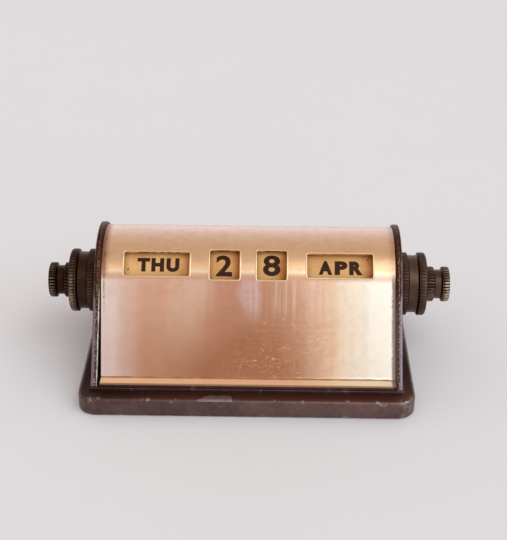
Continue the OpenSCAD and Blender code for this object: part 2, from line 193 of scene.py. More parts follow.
class CalendarColours(PropertyGroup):
    copper: tint("Copper", (0.90, 0.53, 0.37), "Clean copper of the hood")
    golden: tint("Golden copper", (0.92, 0.57, 0.33), "Lacquered copper round the windows")
    # Haze also paints the highlights at both sides of the front.
    haze: tint("Haze", (0.99, 0.90, 0.79), "Pale rubbed copper at both sides of the front")
    # Tarnish also darkens the middle of the front, as a painted darker reflection.
    tarnish: tint("Tarnished copper", (0.51, 0.215, 0.110), "Handled copper in the middle of the front")
    bead: tint("Bead", (0.97, 0.76, 0.50), "Polished beads round the windows")
    patina: tint("Patina", (0.030, 0.012, 0.009), "Dark patina of the bronze")
    patina_brown: tint("Brown patina", (0.060, 0.026, 0.018), "Brown places in the patina")
    rubbed: tint("Rubbed patina", (0.235, 0.145, 0.137), "Patina of the base where hands have rubbed it")
    # Rim rub and sheen: patina rubbed on the rims, which also paints their sheen.
    rubbed_rim: tint(
        "Rubbed rim", (0.300, 0.225, 0.265), "Patina of the end plates' rims where hands have rubbed it"
    )
    worn: tint("Worn metal", (0.62, 0.60, 0.57), "Bare metal along the end plates' edges")
    chipped: tint("Chipped patina", (0.38, 0.31, 0.32), "Metal where the base's patina has chipped")
    knob: tint("Knob patina", (0.026, 0.009, 0.003), "Dark patina of the knobs")
    knob_brown: tint("Brown knob patina", (0.155, 0.092, 0.068), "Brown places in the knobs' patina")
    # Knob wear and glint: bare metal on the crests, which also paints their highlight.
    knob_worn: tint("Worn knob", (0.76, 0.62, 0.46), "Bare metal on the knobs' crests")
    paper: tint("Paper", (0.86, 0.50, 0.20), "Aged paper of the strips")
    # Paper brown and shade: browned places, which also paint the shade beside the windows' edges.
    paper_brown: tint("Browned paper", (0.55, 0.18, 0.025), "Browned places on the strips")
    ink: tint("Ink", (0.040, 0.013, 0.006), "Printing ink")
    brass: tint("Brass", (0.62, 0.43, 0.20), "Bushes, sleeves and bracket")
    steel: tint("Steel", (0.48, 0.47, 0.46), "Shafts, washers and screws")
    tin: tint("Tin", (0.55, 0.54, 0.51), "Drums")
    felt: tint("Felt", (0.035, 0.075, 0.045), "Felt under the base")
    # Patina and hood reflection: patina with the hood's painted reflection on the base's top, in front.
    patina_red: tint("Red patina", (0.135, 0.04, 0.02), "Red patina on the base's top, in front")
    # Shaded patina: painted shade at the left of the base's top.
    patina_dark: tint("Dark red patina", (0.055, 0.02, 0.013), "Darker patina at the left of the base's top")
    rim_speckle: tint("Rim speckle", (0.12, 0.036, 0.019), "Speckles on the end plates")
    rim_spark: tint("Rim sparks", (0.55, 0.4, 0.24), "Bare specks high on the end plates' rims")
    paper_light: tint("Light paper", (0.8, 0.54, 0.26), "Light fibres in the strips")
    ink_thin: tint("Thin ink", (0.13, 0.06, 0.03), "Places where the ink is rubbed")
    felt_dust: tint("Felt dust", (0.12, 0.13, 0.09), "Dust in the felt")
    pin_steel: tint("Pin", (0.1, 0.06, 0.04), "Pin heads in the strips")
    floor: tint("Floor", (0.825, 0.792, 0.806), "Table that the calendar stands on")


class CalendarHoodColours(PropertyGroup):
    # Back: pale colour over the hood's top and back, which is a painted reflection.
    back: tint("Back", (0.91, 0.77, 0.74), "Pale lacquer over the hood's back")
    amber: tint("Amber", (0.98, 0.72, 0.48), "Front where it turns golden to the right")
    # Pink highlight: pale haze at the front's left end, which also paints its highlight.
    pink_haze: tint("Pink haze", (1.0, 0.885, 0.845), "Pale haze at the front's left end")
    # Highlight cream: painted highlight at the front's far right end.
    cream: tint("Cream", (0.96, 0.85, 0.73), "Front's far right end")
    # Pale streak reflection: painted reflection of a light streak left of the middle.
    light_patch: tint("Light patch", (0.96, 0.7, 0.53), "Light patch left of the middle")
    rosy: tint("Rosy", (0.7, 0.34, 0.22), "Dark rosy stripe under the tens window")
    mauve: tint("Mauve", (0.86, 0.62, 0.6), "Mauve stripe under the units window")
    run_mark: tint("Run marks", (0.97, 0.78, 0.68), "Pale run marks under the windows")
    fleck: tint("Flecks", (0.42, 0.2, 0.12), "Small brown flecks on the curve")
    scratch: tint("Scratches", (1.0, 0.86, 0.6), "Bright scratches on the front")
    # Bend light paints the highlight along the bend.
    bend_light: tint("Bend", (1.0, 0.84, 0.62), "Polished line along the bend")
    bend_shade: tint("Bend's shade", (0.7, 0.37, 0.22), "Shaded line under the bend")
    lip: tint("Lip", (1.0, 0.62, 0.36), "Front lip on the left")
    lip_right: tint("Lip on the right", (1.0, 0.8, 0.56), "Front lip on the right")
    # Lip's rim shade: painted shade on the front edge of the lip.
    lip_rim: tint("Lip's rim", (0.36, 0.15, 0.08), "Outer rim of the front lip")
    # Crease: painted shade in the crease where the front lip turns out.
    crease: tint("Crease", (0.24, 0.075, 0.035), "Dirt in the crease of the front lip")
    # Side brown and shade: brown edge beside the end plates, which also paints the shade there.
    side_brown: tint("Browned sides", (0.27, 0.085, 0.06), "Browned edge of the curve beside the end plates")
    side_rust: tint("Rusty sides", (0.19, 0.08, 0.065), "Rusty specks beside the end plates")
    # Bead top shade: painted shade on the beads above the windows' middle.
    bead_brown: tint("Browned beads", (0.82, 0.5, 0.3), "Beads above the windows' middle")


class CalendarStageSettings(PropertyGroup):
    daylight: FloatProperty(
        name="Ambient", default=0.60, min=0, description="Strength of the even light from all round"
    )
    walls: FloatProperty(
        name="Walls", default=0.38, min=0, description="How much brighter the wall behind is"
    )
    key: FloatProperty(
        name="Key", default=1.25, min=0, description="Strength of the large soft light on the right"
    )
    lens: FloatProperty(
        name="Lens", default=80, min=10, unit="CAMERA", description="Focal length on a 36 mm frame"
    )
    eye: FloatVectorProperty(
        name="Eye", default=(0.007568, -0.378480, 0.259717), subtype="TRANSLATION", unit="LENGTH",
        description="Place of the camera",
    )
    pitch: FloatProperty(
        name="Pitch", default=math.radians(30.3195), subtype="ANGLE",
        description="How far the camera looks down",
    )
    yaw: FloatProperty(
        name="Yaw", default=math.radians(0.8674), subtype="ANGLE",
        description="How far the camera looks to the left",
    )
    roll: FloatProperty(
        name="Roll", default=math.radians(0.2454), subtype="ANGLE",
        description="Turn of the camera about its own line",
    )


class CalendarSettings(PropertyGroup):
    base: PointerProperty(type=CalendarBaseSettings)
    cradle: PointerProperty(type=CalendarCradleSettings)
    hood: PointerProperty(type=CalendarHoodSettings)
    knobs: PointerProperty(type=CalendarKnobSettings)
    letters: PointerProperty(type=CalendarLetterSettings)
    colours: PointerProperty(type=CalendarColours)
    hood_colours: PointerProperty(type=CalendarHoodColours)
    stage: PointerProperty(type=CalendarStageSettings)


def settings():
    return bpy.context.scene.desk_calendar


# ---------------------------------------------------------------- modelling


def take(*objects):
    """Leaves object mode, selects only these objects and makes the first one active."""
    if bpy.context.object and bpy.context.object.mode != "OBJECT":
        bpy.ops.object.mode_set(mode="OBJECT")
    bpy.ops.object.select_all(action="DESELECT")
    for obj in objects:
        obj.select_set(True)
    bpy.context.view_layer.objects.active = objects[0]
    return objects[0]


def edit(obj):
    """Opens obj in edit mode with nothing selected."""
    take(obj)
    bpy.ops.object.mode_set(mode="EDIT")
    bpy.ops.mesh.select_mode(type="VERT")
    bpy.ops.mesh.select_all(action="DESELECT")


def done():
    bpy.ops.object.mode_set(mode="OBJECT")


def pick(kind, test):
    """In edit mode, selects just the verts, edges or faces for which test is true, and says how many."""
    bpy.ops.mesh.select_mode(type={"verts": "VERT", "edges": "EDGE", "faces": "FACE"}[kind])
    bpy.ops.mesh.select_all(action="DESELECT")
    mesh = bpy.context.object.data
    bm = bmesh.from_edit_mesh(mesh)
    found = [e for e in getattr(bm, kind) if test(e)]
    for e in found:
        e.select_set(True)
    bm.select_flush_mode()
    bmesh.update_edit_mesh(mesh)
    return len(found)


def round_edges(radius, segments, test):
    """In edit mode, rounds the edges for which test is true."""
    pick("edges", test)
    bpy.ops.mesh.bevel(offset=radius, segments=segments, affect="EDGES")


def upright(edge):
    """Whether an edge of a block runs up."""
    return abs(edge.verts[0].co.z - edge.verts[1].co.z) > 0.5 * MM


def middle(element):
    """Middle of an edge or face."""
    return sum((v.co for v in element.verts), Vector()) / len(element.verts)


def apply_place(obj):
    """Puts obj's place, turn and size into its mesh."""
    take(obj)
    bpy.ops.object.transform_apply(location=True, rotation=True, scale=True)
    return obj


def turned_about_axis(obj, angle):
    """Turns a finished shape about the drums' axis."""
    centre = Matrix.Translation(AXIS)
    obj.matrix_world = centre @ Matrix.Rotation(angle, 4, "X") @ centre.inverted()
    return apply_place(obj)


def use(obj, kind, **values):
    """Adds a modifier with these values and applies it."""
    take(obj)
    modifier = obj.modifiers.new(kind.title(), kind)
    for key, value in values.items():
        setattr(modifier, key, value)
    bpy.ops.object.modifier_apply(modifier=modifier.name)
    return obj


def slab(name, low, high):
    """A block between two corners, as the start of a piece."""
    low, high = Vector(low), Vector(high)
    bpy.ops.mesh.primitive_cube_add(size=1, location=(low + high) / 2, scale=high - low)
    obj = bpy.context.object
    obj.name = obj.data.name = name
    return apply_place(obj)


def draw_line(name, points, closed=False):
    """A line of edges, drawn by extruding one point from place to place."""
    points = [Vector(p) for p in points]
    bpy.ops.mesh.primitive_plane_add(size=MM, location=points[0])
    obj = bpy.context.object
    obj.name = obj.data.name = name
    apply_place(obj)
    edit(obj)
    bpy.ops.mesh.select_all(action="SELECT")
    bpy.ops.mesh.merge(type="CENTER")
    for start, end in zip(points, points[1:]):
        bpy.ops.mesh.extrude_vertices_move(TRANSFORM_OT_translate={"value": end - start})
    if closed:
        ends = (points[0], points[-1])
        pick("verts", lambda v: min((v.co - p).length for p in ends) < 1e-6)
        bpy.ops.mesh.edge_face_add()
    done()
    return obj


def tidy_shell(obj):
    """Merges doubles and turns the faces outwards."""
    edit(obj)
    bpy.ops.mesh.select_all(action="SELECT")
    bpy.ops.mesh.remove_doubles(threshold=2e-6)
    bpy.ops.mesh.normals_make_consistent(inside=False)
    done()
    return obj


def turn(name, outline, steps):
    """Spins an outline of (x, radius) points round the drums' axis."""
    obj = draw_line(name, [(x, AXIS.y, AXIS.z + r) for x, r in outline])
    edit(obj)
    bpy.ops.mesh.select_all(action="SELECT")
    bpy.ops.mesh.spin(steps=steps, angle=math.tau, center=(0, AXIS.y, AXIS.z), axis=(1, 0, 0))
    done()
    return tidy_shell(obj)


def rule(obj, axis, spacing):
    """Cuts obj across an axis at even steps, so that its flats have points to wave and wear by."""
    edit(obj)
    low = min(v.co[axis] for v in bmesh.from_edit_mesh(obj.data).verts)
    high = max(v.co[axis] for v in bmesh.from_edit_mesh(obj.data).verts)
    count = max(1, round((high - low) / spacing))
    normal = [0.0, 0.0, 0.0]
    normal[axis] = 1.0
    for i in range(1, count):
        place = [0.0, 0.0, 0.0]
        place[axis] = low + (high - low) * i / count
        bpy.ops.mesh.select_all(action="SELECT")
        bpy.ops.mesh.bisect(plane_co=place, plane_no=normal, threshold=1e-6)
    done()
    return obj


def unevenness(obj, size, height, seed):
    """Waves the surface by a cloud pattern: size is the pattern's, height the most that it moves."""
    clouds = bpy.data.textures.new(f"clouds_{seed}", "CLOUDS")
    clouds.noise_scale = size
    clouds.noise_depth = 1
    return use(obj, "DISPLACE", texture=clouds, texture_coords="LOCAL", strength=height, mid_level=0.5)


def mark_edges(obj, radius=0.9 * MM, soften=2):
    """Stores how sharply the surface turns outwards at each point as the attribute "edge", from 0 to 1."""
    mesh = obj.data
    places = np.empty(len(mesh.vertices) * 3)
    mesh.vertices.foreach_get("co", places)
    normals = np.empty_like(places)
    mesh.vertices.foreach_get("normal", normals)
    places, normals = places.reshape(-1, 3), normals.reshape(-1, 3)
    ends = np.empty(len(mesh.edges) * 2, dtype=np.int64)
    mesh.edges.foreach_get("vertices", ends)
    ends = ends.reshape(-1, 2)
    run = places[ends[:, 1]] - places[ends[:, 0]]
    squared = np.maximum((run**2).sum(1), 1e-14)
    bend = np.zeros(len(places))
    count = np.zeros(len(places))
    for side, sign in ((0, -1), (1, 1)):
        here = ends[:, side]
        np.add.at(bend, here, sign * 2 * (normals[here] * run).sum(1) / squared)
        np.add.at(count, here, 1)
    edge = np.clip(bend / np.maximum(count, 1) * radius, 0, 1)
    for _ in range(soften):
        total = edge * 2
        weight = np.full(len(edge), 2.0)
        for side in (0, 1):
            np.add.at(total, ends[:, side], edge[ends[:, 1 - side]])
            np.add.at(weight, ends[:, side], 1)
        edge = total / weight
    layer = mesh.attributes.new("edge", "FLOAT", "POINT")
    layer.data.foreach_set("value", edge.astype(np.float32))
    return obj


def smooth(obj, degrees=30):
    take(obj)
    bpy.ops.object.shade_smooth_by_angle(angle=math.radians(degrees))
    return obj


def join(name, objects):
    """Joins objects into the first one."""
    take(*objects)
    if len(objects) > 1:
        bpy.ops.object.join()
    obj = bpy.context.object
    obj.name = obj.data.name = name
    return obj


def mirrored(obj, name):
    """A copy of obj with its own mesh, on the other side of the middle."""
    take(obj)
    bpy.ops.object.duplicate(linked=False)
    copy = bpy.context.object
    copy.name = copy.data.name = name
    copy.scale.x = -1
    apply_place(copy)
    return tidy_shell(copy)


def hand_over(obj, body, slot, material, *nodes):
    """Gives a finished piece its material, its body and the nodes that it stands for; its slot is not used.
    """
    obj.data.materials.clear()
    obj.data.materials.append(material)
    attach(obj, body)
    if nodes:
        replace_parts(obj, *nodes)
    return obj


# ---------------------------------------------------------------- shader helpers


def node(tree, kind, wires=None, **values):
    """Adds a node, sets its values and fills its inputs with links or plain values."""
    made = tree.nodes.new("ShaderNode" + kind)
    for key, value in values.items():
        setattr(made, key, value)
    for key, value in (wires or {}).items():
        if isinstance(value, bpy.types.NodeSocket):
            tree.links.new(value, made.inputs[key])
        else:
            made.inputs[key].default_value = value
    return made


def calc(tree, operation, a, b=0.0, c=0.0, clamp=False):
    """One Math node's value."""
    return node(tree, "Math", {0: a, 1: b, 2: c}, operation=operation, use_clamp=clamp).outputs[0]


def times(tree, a, b, clamp=False):
    return calc(tree, "MULTIPLY", a, b, clamp=clamp)


def times_plus(tree, a, b, c, clamp=False):
    """a times b, plus c."""
    return calc(tree, "MULTIPLY_ADD", a, b, c, clamp=clamp)


def without(tree, value, clamp=False):
    """What a mask leaves: 1 minus its value."""
    return calc(tree, "SUBTRACT", 1.0, value, clamp=clamp)


def greater(tree, a, b):
    return calc(tree, "MAXIMUM", a, b)


def apart(tree, a, b):
    """How far one value is from another."""
    return calc(tree, "ABSOLUTE", calc(tree, "SUBTRACT", a, b))


def vector_calc(tree, operation, a, b=(0, 0, 0)):
    """One Vector Math node's outputs: 0 for a vector and "Value" for a number."""
    return node(tree, "VectorMath", {0: a, 1: b}, operation=operation).outputs


def coordinates(tree, kind="Object"):
    return node(tree, "TexCoord").outputs[kind]


def split(tree, kind):
    """X, Y and Z of the coordinates of that kind."""
    return node(tree, "SeparateXYZ", {0: coordinates(tree, kind)}).outputs


def ramp(tree, value, low, high):
    """0 below low, 1 above high and smooth between."""
    wires = {"Value": value, "From Min": low, "From Max": high}
    return node(tree, "MapRange", wires, interpolation_type="SMOOTHSTEP").outputs[0]


def blend_colours(tree, factor, a, b):
    made = node(tree, "Mix", data_type="RGBA")
    for index, value in ((0, factor), (6, a), (7, b)):
        if isinstance(value, bpy.types.NodeSocket):
            tree.links.new(value, made.inputs[index])
        elif index == 0:
            made.inputs[index].default_value = value
        else:
            made.inputs[index].default_value = (*value[:3], 1)
    return made.outputs[2]


def washes(tree, ground, *layers):
    """Lays colours over a ground one by one. Each layer is (mask, colour)."""
    for mask, colour in layers:
        ground = blend_colours(tree, mask, ground, colour)
    return ground


def place_on(tree, scale=(1, 1, 1), turn_by=(0, 0, 0), shift=(0, 0, 0)):
    """Object coordinates through a Mapping node."""
    wires = {"Vector": coordinates(tree), "Scale": scale, "Rotation": turn_by, "Location": shift}
    return node(tree, "Mapping", wires).outputs[0]


def noise(tree, where, scale, detail=3.0, rough=0.55):
    wires = {"Vector": where, "Scale": scale, "Detail": detail, "Roughness": rough}
    return node(tree, "TexNoise", wires).outputs[0]


def effect(name, sockets_in, sockets_out):
    """A new node group of plain values: inputs with their defaults, and the names of its outputs."""
    tree = bpy.data.node_groups.new(name, "ShaderNodeTree")
    for label, value in sockets_in.items():
        made = tree.interface.new_socket(label, in_out="INPUT", socket_type="NodeSocketFloat")
        made.default_value = value
    for label in sockets_out:
        tree.interface.new_socket(label, in_out="OUTPUT", socket_type="NodeSocketFloat")
    return tree, tree.nodes.new("NodeGroupInput").outputs, tree.nodes.new("NodeGroupOutput").inputs


def effect_node(tree, name, **given):
    """Places a node group in a material, with its inputs given by name."""
    made = tree.nodes.new("ShaderNodeGroup")
    made.node_tree = bpy.data.node_groups[name]
    for key, value in given.items():
        made.inputs[key].default_value = value
    return made.outputs


def edge_wear_effect():
    """Edge Wear: where an outward edge has lost its finish, broken up by noise."""
    defaults = {"Amount": 0.5, "Scale": 400.0, "Shift": 0.0, "Chips": 0.3}
    tree, given, out = effect("Edge Wear", defaults, ["Mask", "Chips"])
    edge = node(tree, "Attribute", attribute_name="edge").outputs["Fac"]
    shift = node(tree, "CombineXYZ", {0: given["Shift"], 1: given["Shift"]}).outputs[0]
    where = vector_calc(tree, "ADD", coordinates(tree), shift)[0]
    fine = noise(tree, where, given["Scale"], 4, 0.65)
    broad = noise(tree, where, times(tree, given["Scale"], 0.16), 2, 0.5)
    uneven = times_plus(tree, broad, 1.6, -0.3)
    worn = times(tree, times(tree, edge, given["Amount"]), uneven)
    worn = calc(tree, "SUBTRACT", worn, times_plus(tree, fine, -0.8, 0.62))
    tree.links.new(times(tree, ramp(tree, worn, 0.0, 0.16), ramp(tree, edge, 0.03, 0.15)), out["Mask"])
    patch = times(tree, ramp(tree, broad, 0.63, 0.68), ramp(tree, edge, 0.10, 0.25))
    patch = times(tree, patch, ramp(tree, fine, 0.40, 0.47))
    tree.links.new(times(tree, patch, given["Chips"]), out["Chips"])


# How each layer of scratches is turned, and how it is squeezed across its run
SCRATCH_RUNS = (
    ((0.4, 0.9, 0.5), (1, 12, 12)),
    ((1.1, -0.4, -0.7), (11, 1, 11)),
    ((0.2, 0.9, 1.6), (12, 8, 1)),
    ((0.0, -0.7, -0.2), (1, 14, 14)),
)


def scratches_effect():
    """Scratches: thin broken hairlines in several crossing directions."""
    tree, given, out = effect("Scratches", {"Scale": 60.0, "Width": 0.004, "Cover": 0.5}, ["Mask"])
    total = None
    for i, (turned, stretch) in enumerate(SCRATCH_RUNS):
        where = place_on(tree, stretch, turned, (0.13 * i, 0.07 * i, 0.21 * i))
        field = noise(tree, where, given["Scale"], 0.5, 0.4)
        gap = apart(tree, field, 0.5)
        line = without(tree, calc(tree, "DIVIDE", gap, given["Width"]), clamp=True)
        where = place_on(tree, shift=(0.3 * i, 0.5, 0.1))
        kept = noise(tree, where, times(tree, given["Scale"], 7.0), 2, 0.5)
        kept = ramp(tree, kept, calc(tree, "SUBTRACT", 0.7, times(tree, given["Cover"], 0.4)), 0.7)
        line = times(tree, line, kept)
        total = line if total is None else greater(tree, total, line)
    tree.links.new(total, out["Mask"])


def pits_effect():
    """Pits: small dark hollows of several sizes."""
    tree, given, out = effect("Pits", {"Scale": 900.0, "Cover": 0.3}, ["Mask"])
    where = coordinates(tree)
    wires = {"Vector": where, "Scale": given["Scale"], "Randomness": 1.0}
    cell = node(tree, "TexVoronoi", wires).outputs["Distance"]
    field = noise(tree, where, times(tree, given["Scale"], 0.35), 3, 0.6)
    size = times(tree, ramp(tree, field, 0.42, 0.72), given["Cover"])
    tree.links.new(ramp(tree, calc(tree, "SUBTRACT", size, cell), -0.02, 0.10), out["Mask"])


def patches_effect():
    """Patches: soft cloudy variation, as one broad and one fine mask."""
    tree, given, out = effect("Patches", {"Scale": 50.0, "Shift": 0.0}, ["Broad", "Fine"])
    shift = node(tree, "CombineXYZ", {0: given["Shift"], 2: given["Shift"]}).outputs[0]
    where = vector_calc(tree, "ADD", coordinates(tree), shift)[0]
    tree.links.new(ramp(tree, noise(tree, where, given["Scale"], 3, 0.55), 0.36, 0.66), out["Broad"])
    tree.links.new(noise(tree, where, times(tree, given["Scale"], 9.0), 4, 0.65), out["Fine"])


def brushing_effect():
    """Brushing: long fine lines along X, as on rolled and brushed sheet."""
    tree, given, out = effect("Brushing", {"Scale": 1600.0}, ["Lines"])
    fine = noise(tree, place_on(tree, (0.03, 1, 1)), given["Scale"], 3, 0.7)
    long = noise(tree, place_on(tree, (0.008, 1, 1)), times(tree, given["Scale"], 0.4), 2, 0.6)
    tree.links.new(times_plus(tree, fine, 0.6, times(tree, long, 0.4)), out["Lines"])


EFFECTS = (edge_wear_effect, scratches_effect, pits_effect, patches_effect, brushing_effect)


def new_material(name, **plain):
    """A material with its Principled shader; plain gives the sockets that are the same all over."""
    material = bpy.data.materials.new(name)
    material.use_nodes = True
    tree = material.node_tree
    shader = next(n for n in tree.nodes if n.type == "BSDF_PRINCIPLED")
    for key, value in plain.items():
        socket = shader.inputs[key.replace("_", " ")]
        socket.default_value = (*value[:3], 1) if socket.type == "RGBA" else value
    return material, tree, shader


def feed(tree, shader, **wires):
    """Links values into the shader's sockets, whose names have _ for each space here."""
    for key, value in wires.items():
        tree.links.new(value, shader.inputs[key.replace("_", " ")])


def bump(tree, shader, *layers):
    """Chains Bump nodes into the shader's Normal. Each layer is (height, distance in metres, strength)."""
    normal = None
    for height, distance, strength in layers:
        wires = {"Height": height, "Distance": distance, "Strength": strength}
        if normal is not None:
            wires["Normal"] = normal
        normal = node(tree, "Bump", wires).outputs[0]
    tree.links.new(normal, shader.inputs["Normal"])


def effects_ready():
    if "Edge Wear" not in bpy.data.node_groups:
        for make in EFFECTS:
            make()


def stored(make):
    """Makes a material once and gives the same one after that."""

    def give(*args):
        effects_ready()
        found = bpy.data.materials.get(args[0] if args else make.__name__)
        return found or make(*args)

    return give


# ---------------------------------------------------------------- finishes


def large_chip(tree, places, fine, faces_up):
    """The large chip on the base's front edge: it tapers to the left and ends short on the right."""
    front, depth, ragged, rim = -38.6 * MM, 3.2 * MM, 1.6 * MM, 0.2 * MM
    tapers = ramp(tree, places["X"], -19.0 * MM, -12.5 * MM)
    reach_back = calc(tree, "SUBTRACT", tapers, ramp(tree, places["X"], -5.6 * MM, -4.6 * MM))
    edge_of = times_plus(tree, fine, ragged, times_plus(tree, reach_back, depth, front))
    inside = ramp(tree, calc(tree, "SUBTRACT", edge_of, places["Y"]), 0.0, rim)
    flaked = times(tree, inside, ramp(tree, reach_back, 0.05, 0.3))
    return times(tree, flaked, ramp(tree, faces_up, 0.5, 0.8))


@stored
def patinated(name, dark, brown, rubbed, worn, wear, chips, haze, shift):
    """Dark patinated bronze, rubbed where handled (haze says how far) and bare on its edges, with a painted
    reflection of the hood on its top in front, painted shade at that top's left end and a painted sheen on
    its right front corner.
    """
    material, tree, shader = new_material(name, Coat_Roughness=0.3)
    clouds = effect_node(tree, "Patches", Scale=60.0, Shift=shift)
    bare = effect_node(tree, "Edge Wear", Amount=wear, Scale=1500.0, Shift=shift, Chips=chips)
    pits = effect_node(tree, "Pits", Scale=1500.0, Cover=0.35)["Mask"]
    lines = effect_node(tree, "Scratches", Scale=90.0, Width=0.005, Cover=0.35)["Mask"]
    faces_up = split(tree, "Normal")["Z"]
    ground = blend_colours(tree, clouds["Broad"], dark, brown)
    handled = without(tree, times(tree, ramp(tree, faces_up, 0.85, 0.99), 0.8))
    uneven = times_plus(tree, ramp(tree, clouds["Fine"], 0.35, 0.7), 0.35, 0.65)
    uneven = times(tree, uneven, times_plus(tree, clouds["Broad"], 0.25, 0.75))
    places = node(tree, "SeparateXYZ", {0: place_on(tree)}).outputs
    to_right = times_plus(tree, ramp(tree, places["X"], -0.06, 0.03), 0.35, 0.65)
    rub = times(tree, times(tree, uneven, handled), times(tree, to_right, haze))
    ground = blend_colours(tree, rub, ground, rubbed)
    # red paints the hood's reflection on the top faces in front, darker to the left as painted shade.
    behind = times_plus(tree, ramp(tree, places["Y"], -0.034, -0.028), -0.6, 0.75)
    red = times(tree, ramp(tree, faces_up, 0.75, 0.98), behind)
    shaded_left = without(tree, ramp(tree, places["X"], -0.058, -0.015))
    c = settings().colours
    ground = blend_colours(tree, red, ground, blend_colours(tree, shaded_left, c.patina_red, c.patina_dark))
    metal = greater(tree, bare["Mask"], bare["Chips"])
    metal = times(tree, metal, times_plus(tree, pits, -0.85, 1.0))
    flaked = large_chip(tree, places, clouds["Fine"], faces_up)
    # corner paints a silvery sheen on the base's right front corner.
    corner = without(tree, ramp(tree, places["Y"], -0.037, -0.031))
    corner = times(tree, ramp(tree, places["X"], 0.052, 0.057), corner)
    corner = times(tree, corner, ramp(tree, clouds["Fine"], 0.42, 0.62))
    metal = greater(tree, metal, greater(tree, times(tree, flaked, 0.7), times(tree, corner, 0.45)))
    thin = times(tree, lines, 0.2)
    shown = greater(tree, metal, thin)
    dull, clean = tuple(0.6 * w for w in worn), tuple(min(1, 1.25 * w) for w in worn)
    bright = blend_colours(tree, clouds["Fine"], dull, clean)
    feed(tree, shader, Base_Color=blend_colours(tree, shown, ground, bright))
    bareness = greater(tree, shown, times(tree, rub, 0.75))
    feed(tree, shader, Metallic=times_plus(tree, bareness, 0.25, 0.75))
    rough = times_plus(tree, clouds["Fine"], 0.2, 0.30)
    feed(tree, shader, Roughness=times_plus(tree, shown, -0.05, rough))
    feed(tree, shader, Coat_Weight=times_plus(tree, bareness, -0.06, 0.08))
    depth = calc(tree, "SUBTRACT", clouds["Fine"], times_plus(tree, metal, 0.8, times(tree, pits, 1.2)))
    bump(tree, shader, (depth, 0.00005, 0.5), (lines, -0.00002, 0.4))
    return material


# Heights on the hood: the bend's painted highlight, the painted shade under it, and how the skewed cut runs
# out
BEND_Z = 0.0412
BEND_SHADE_Z = 0.0395
CUT_HEIGHT = 0.0268
CUT_TOP = 1.36


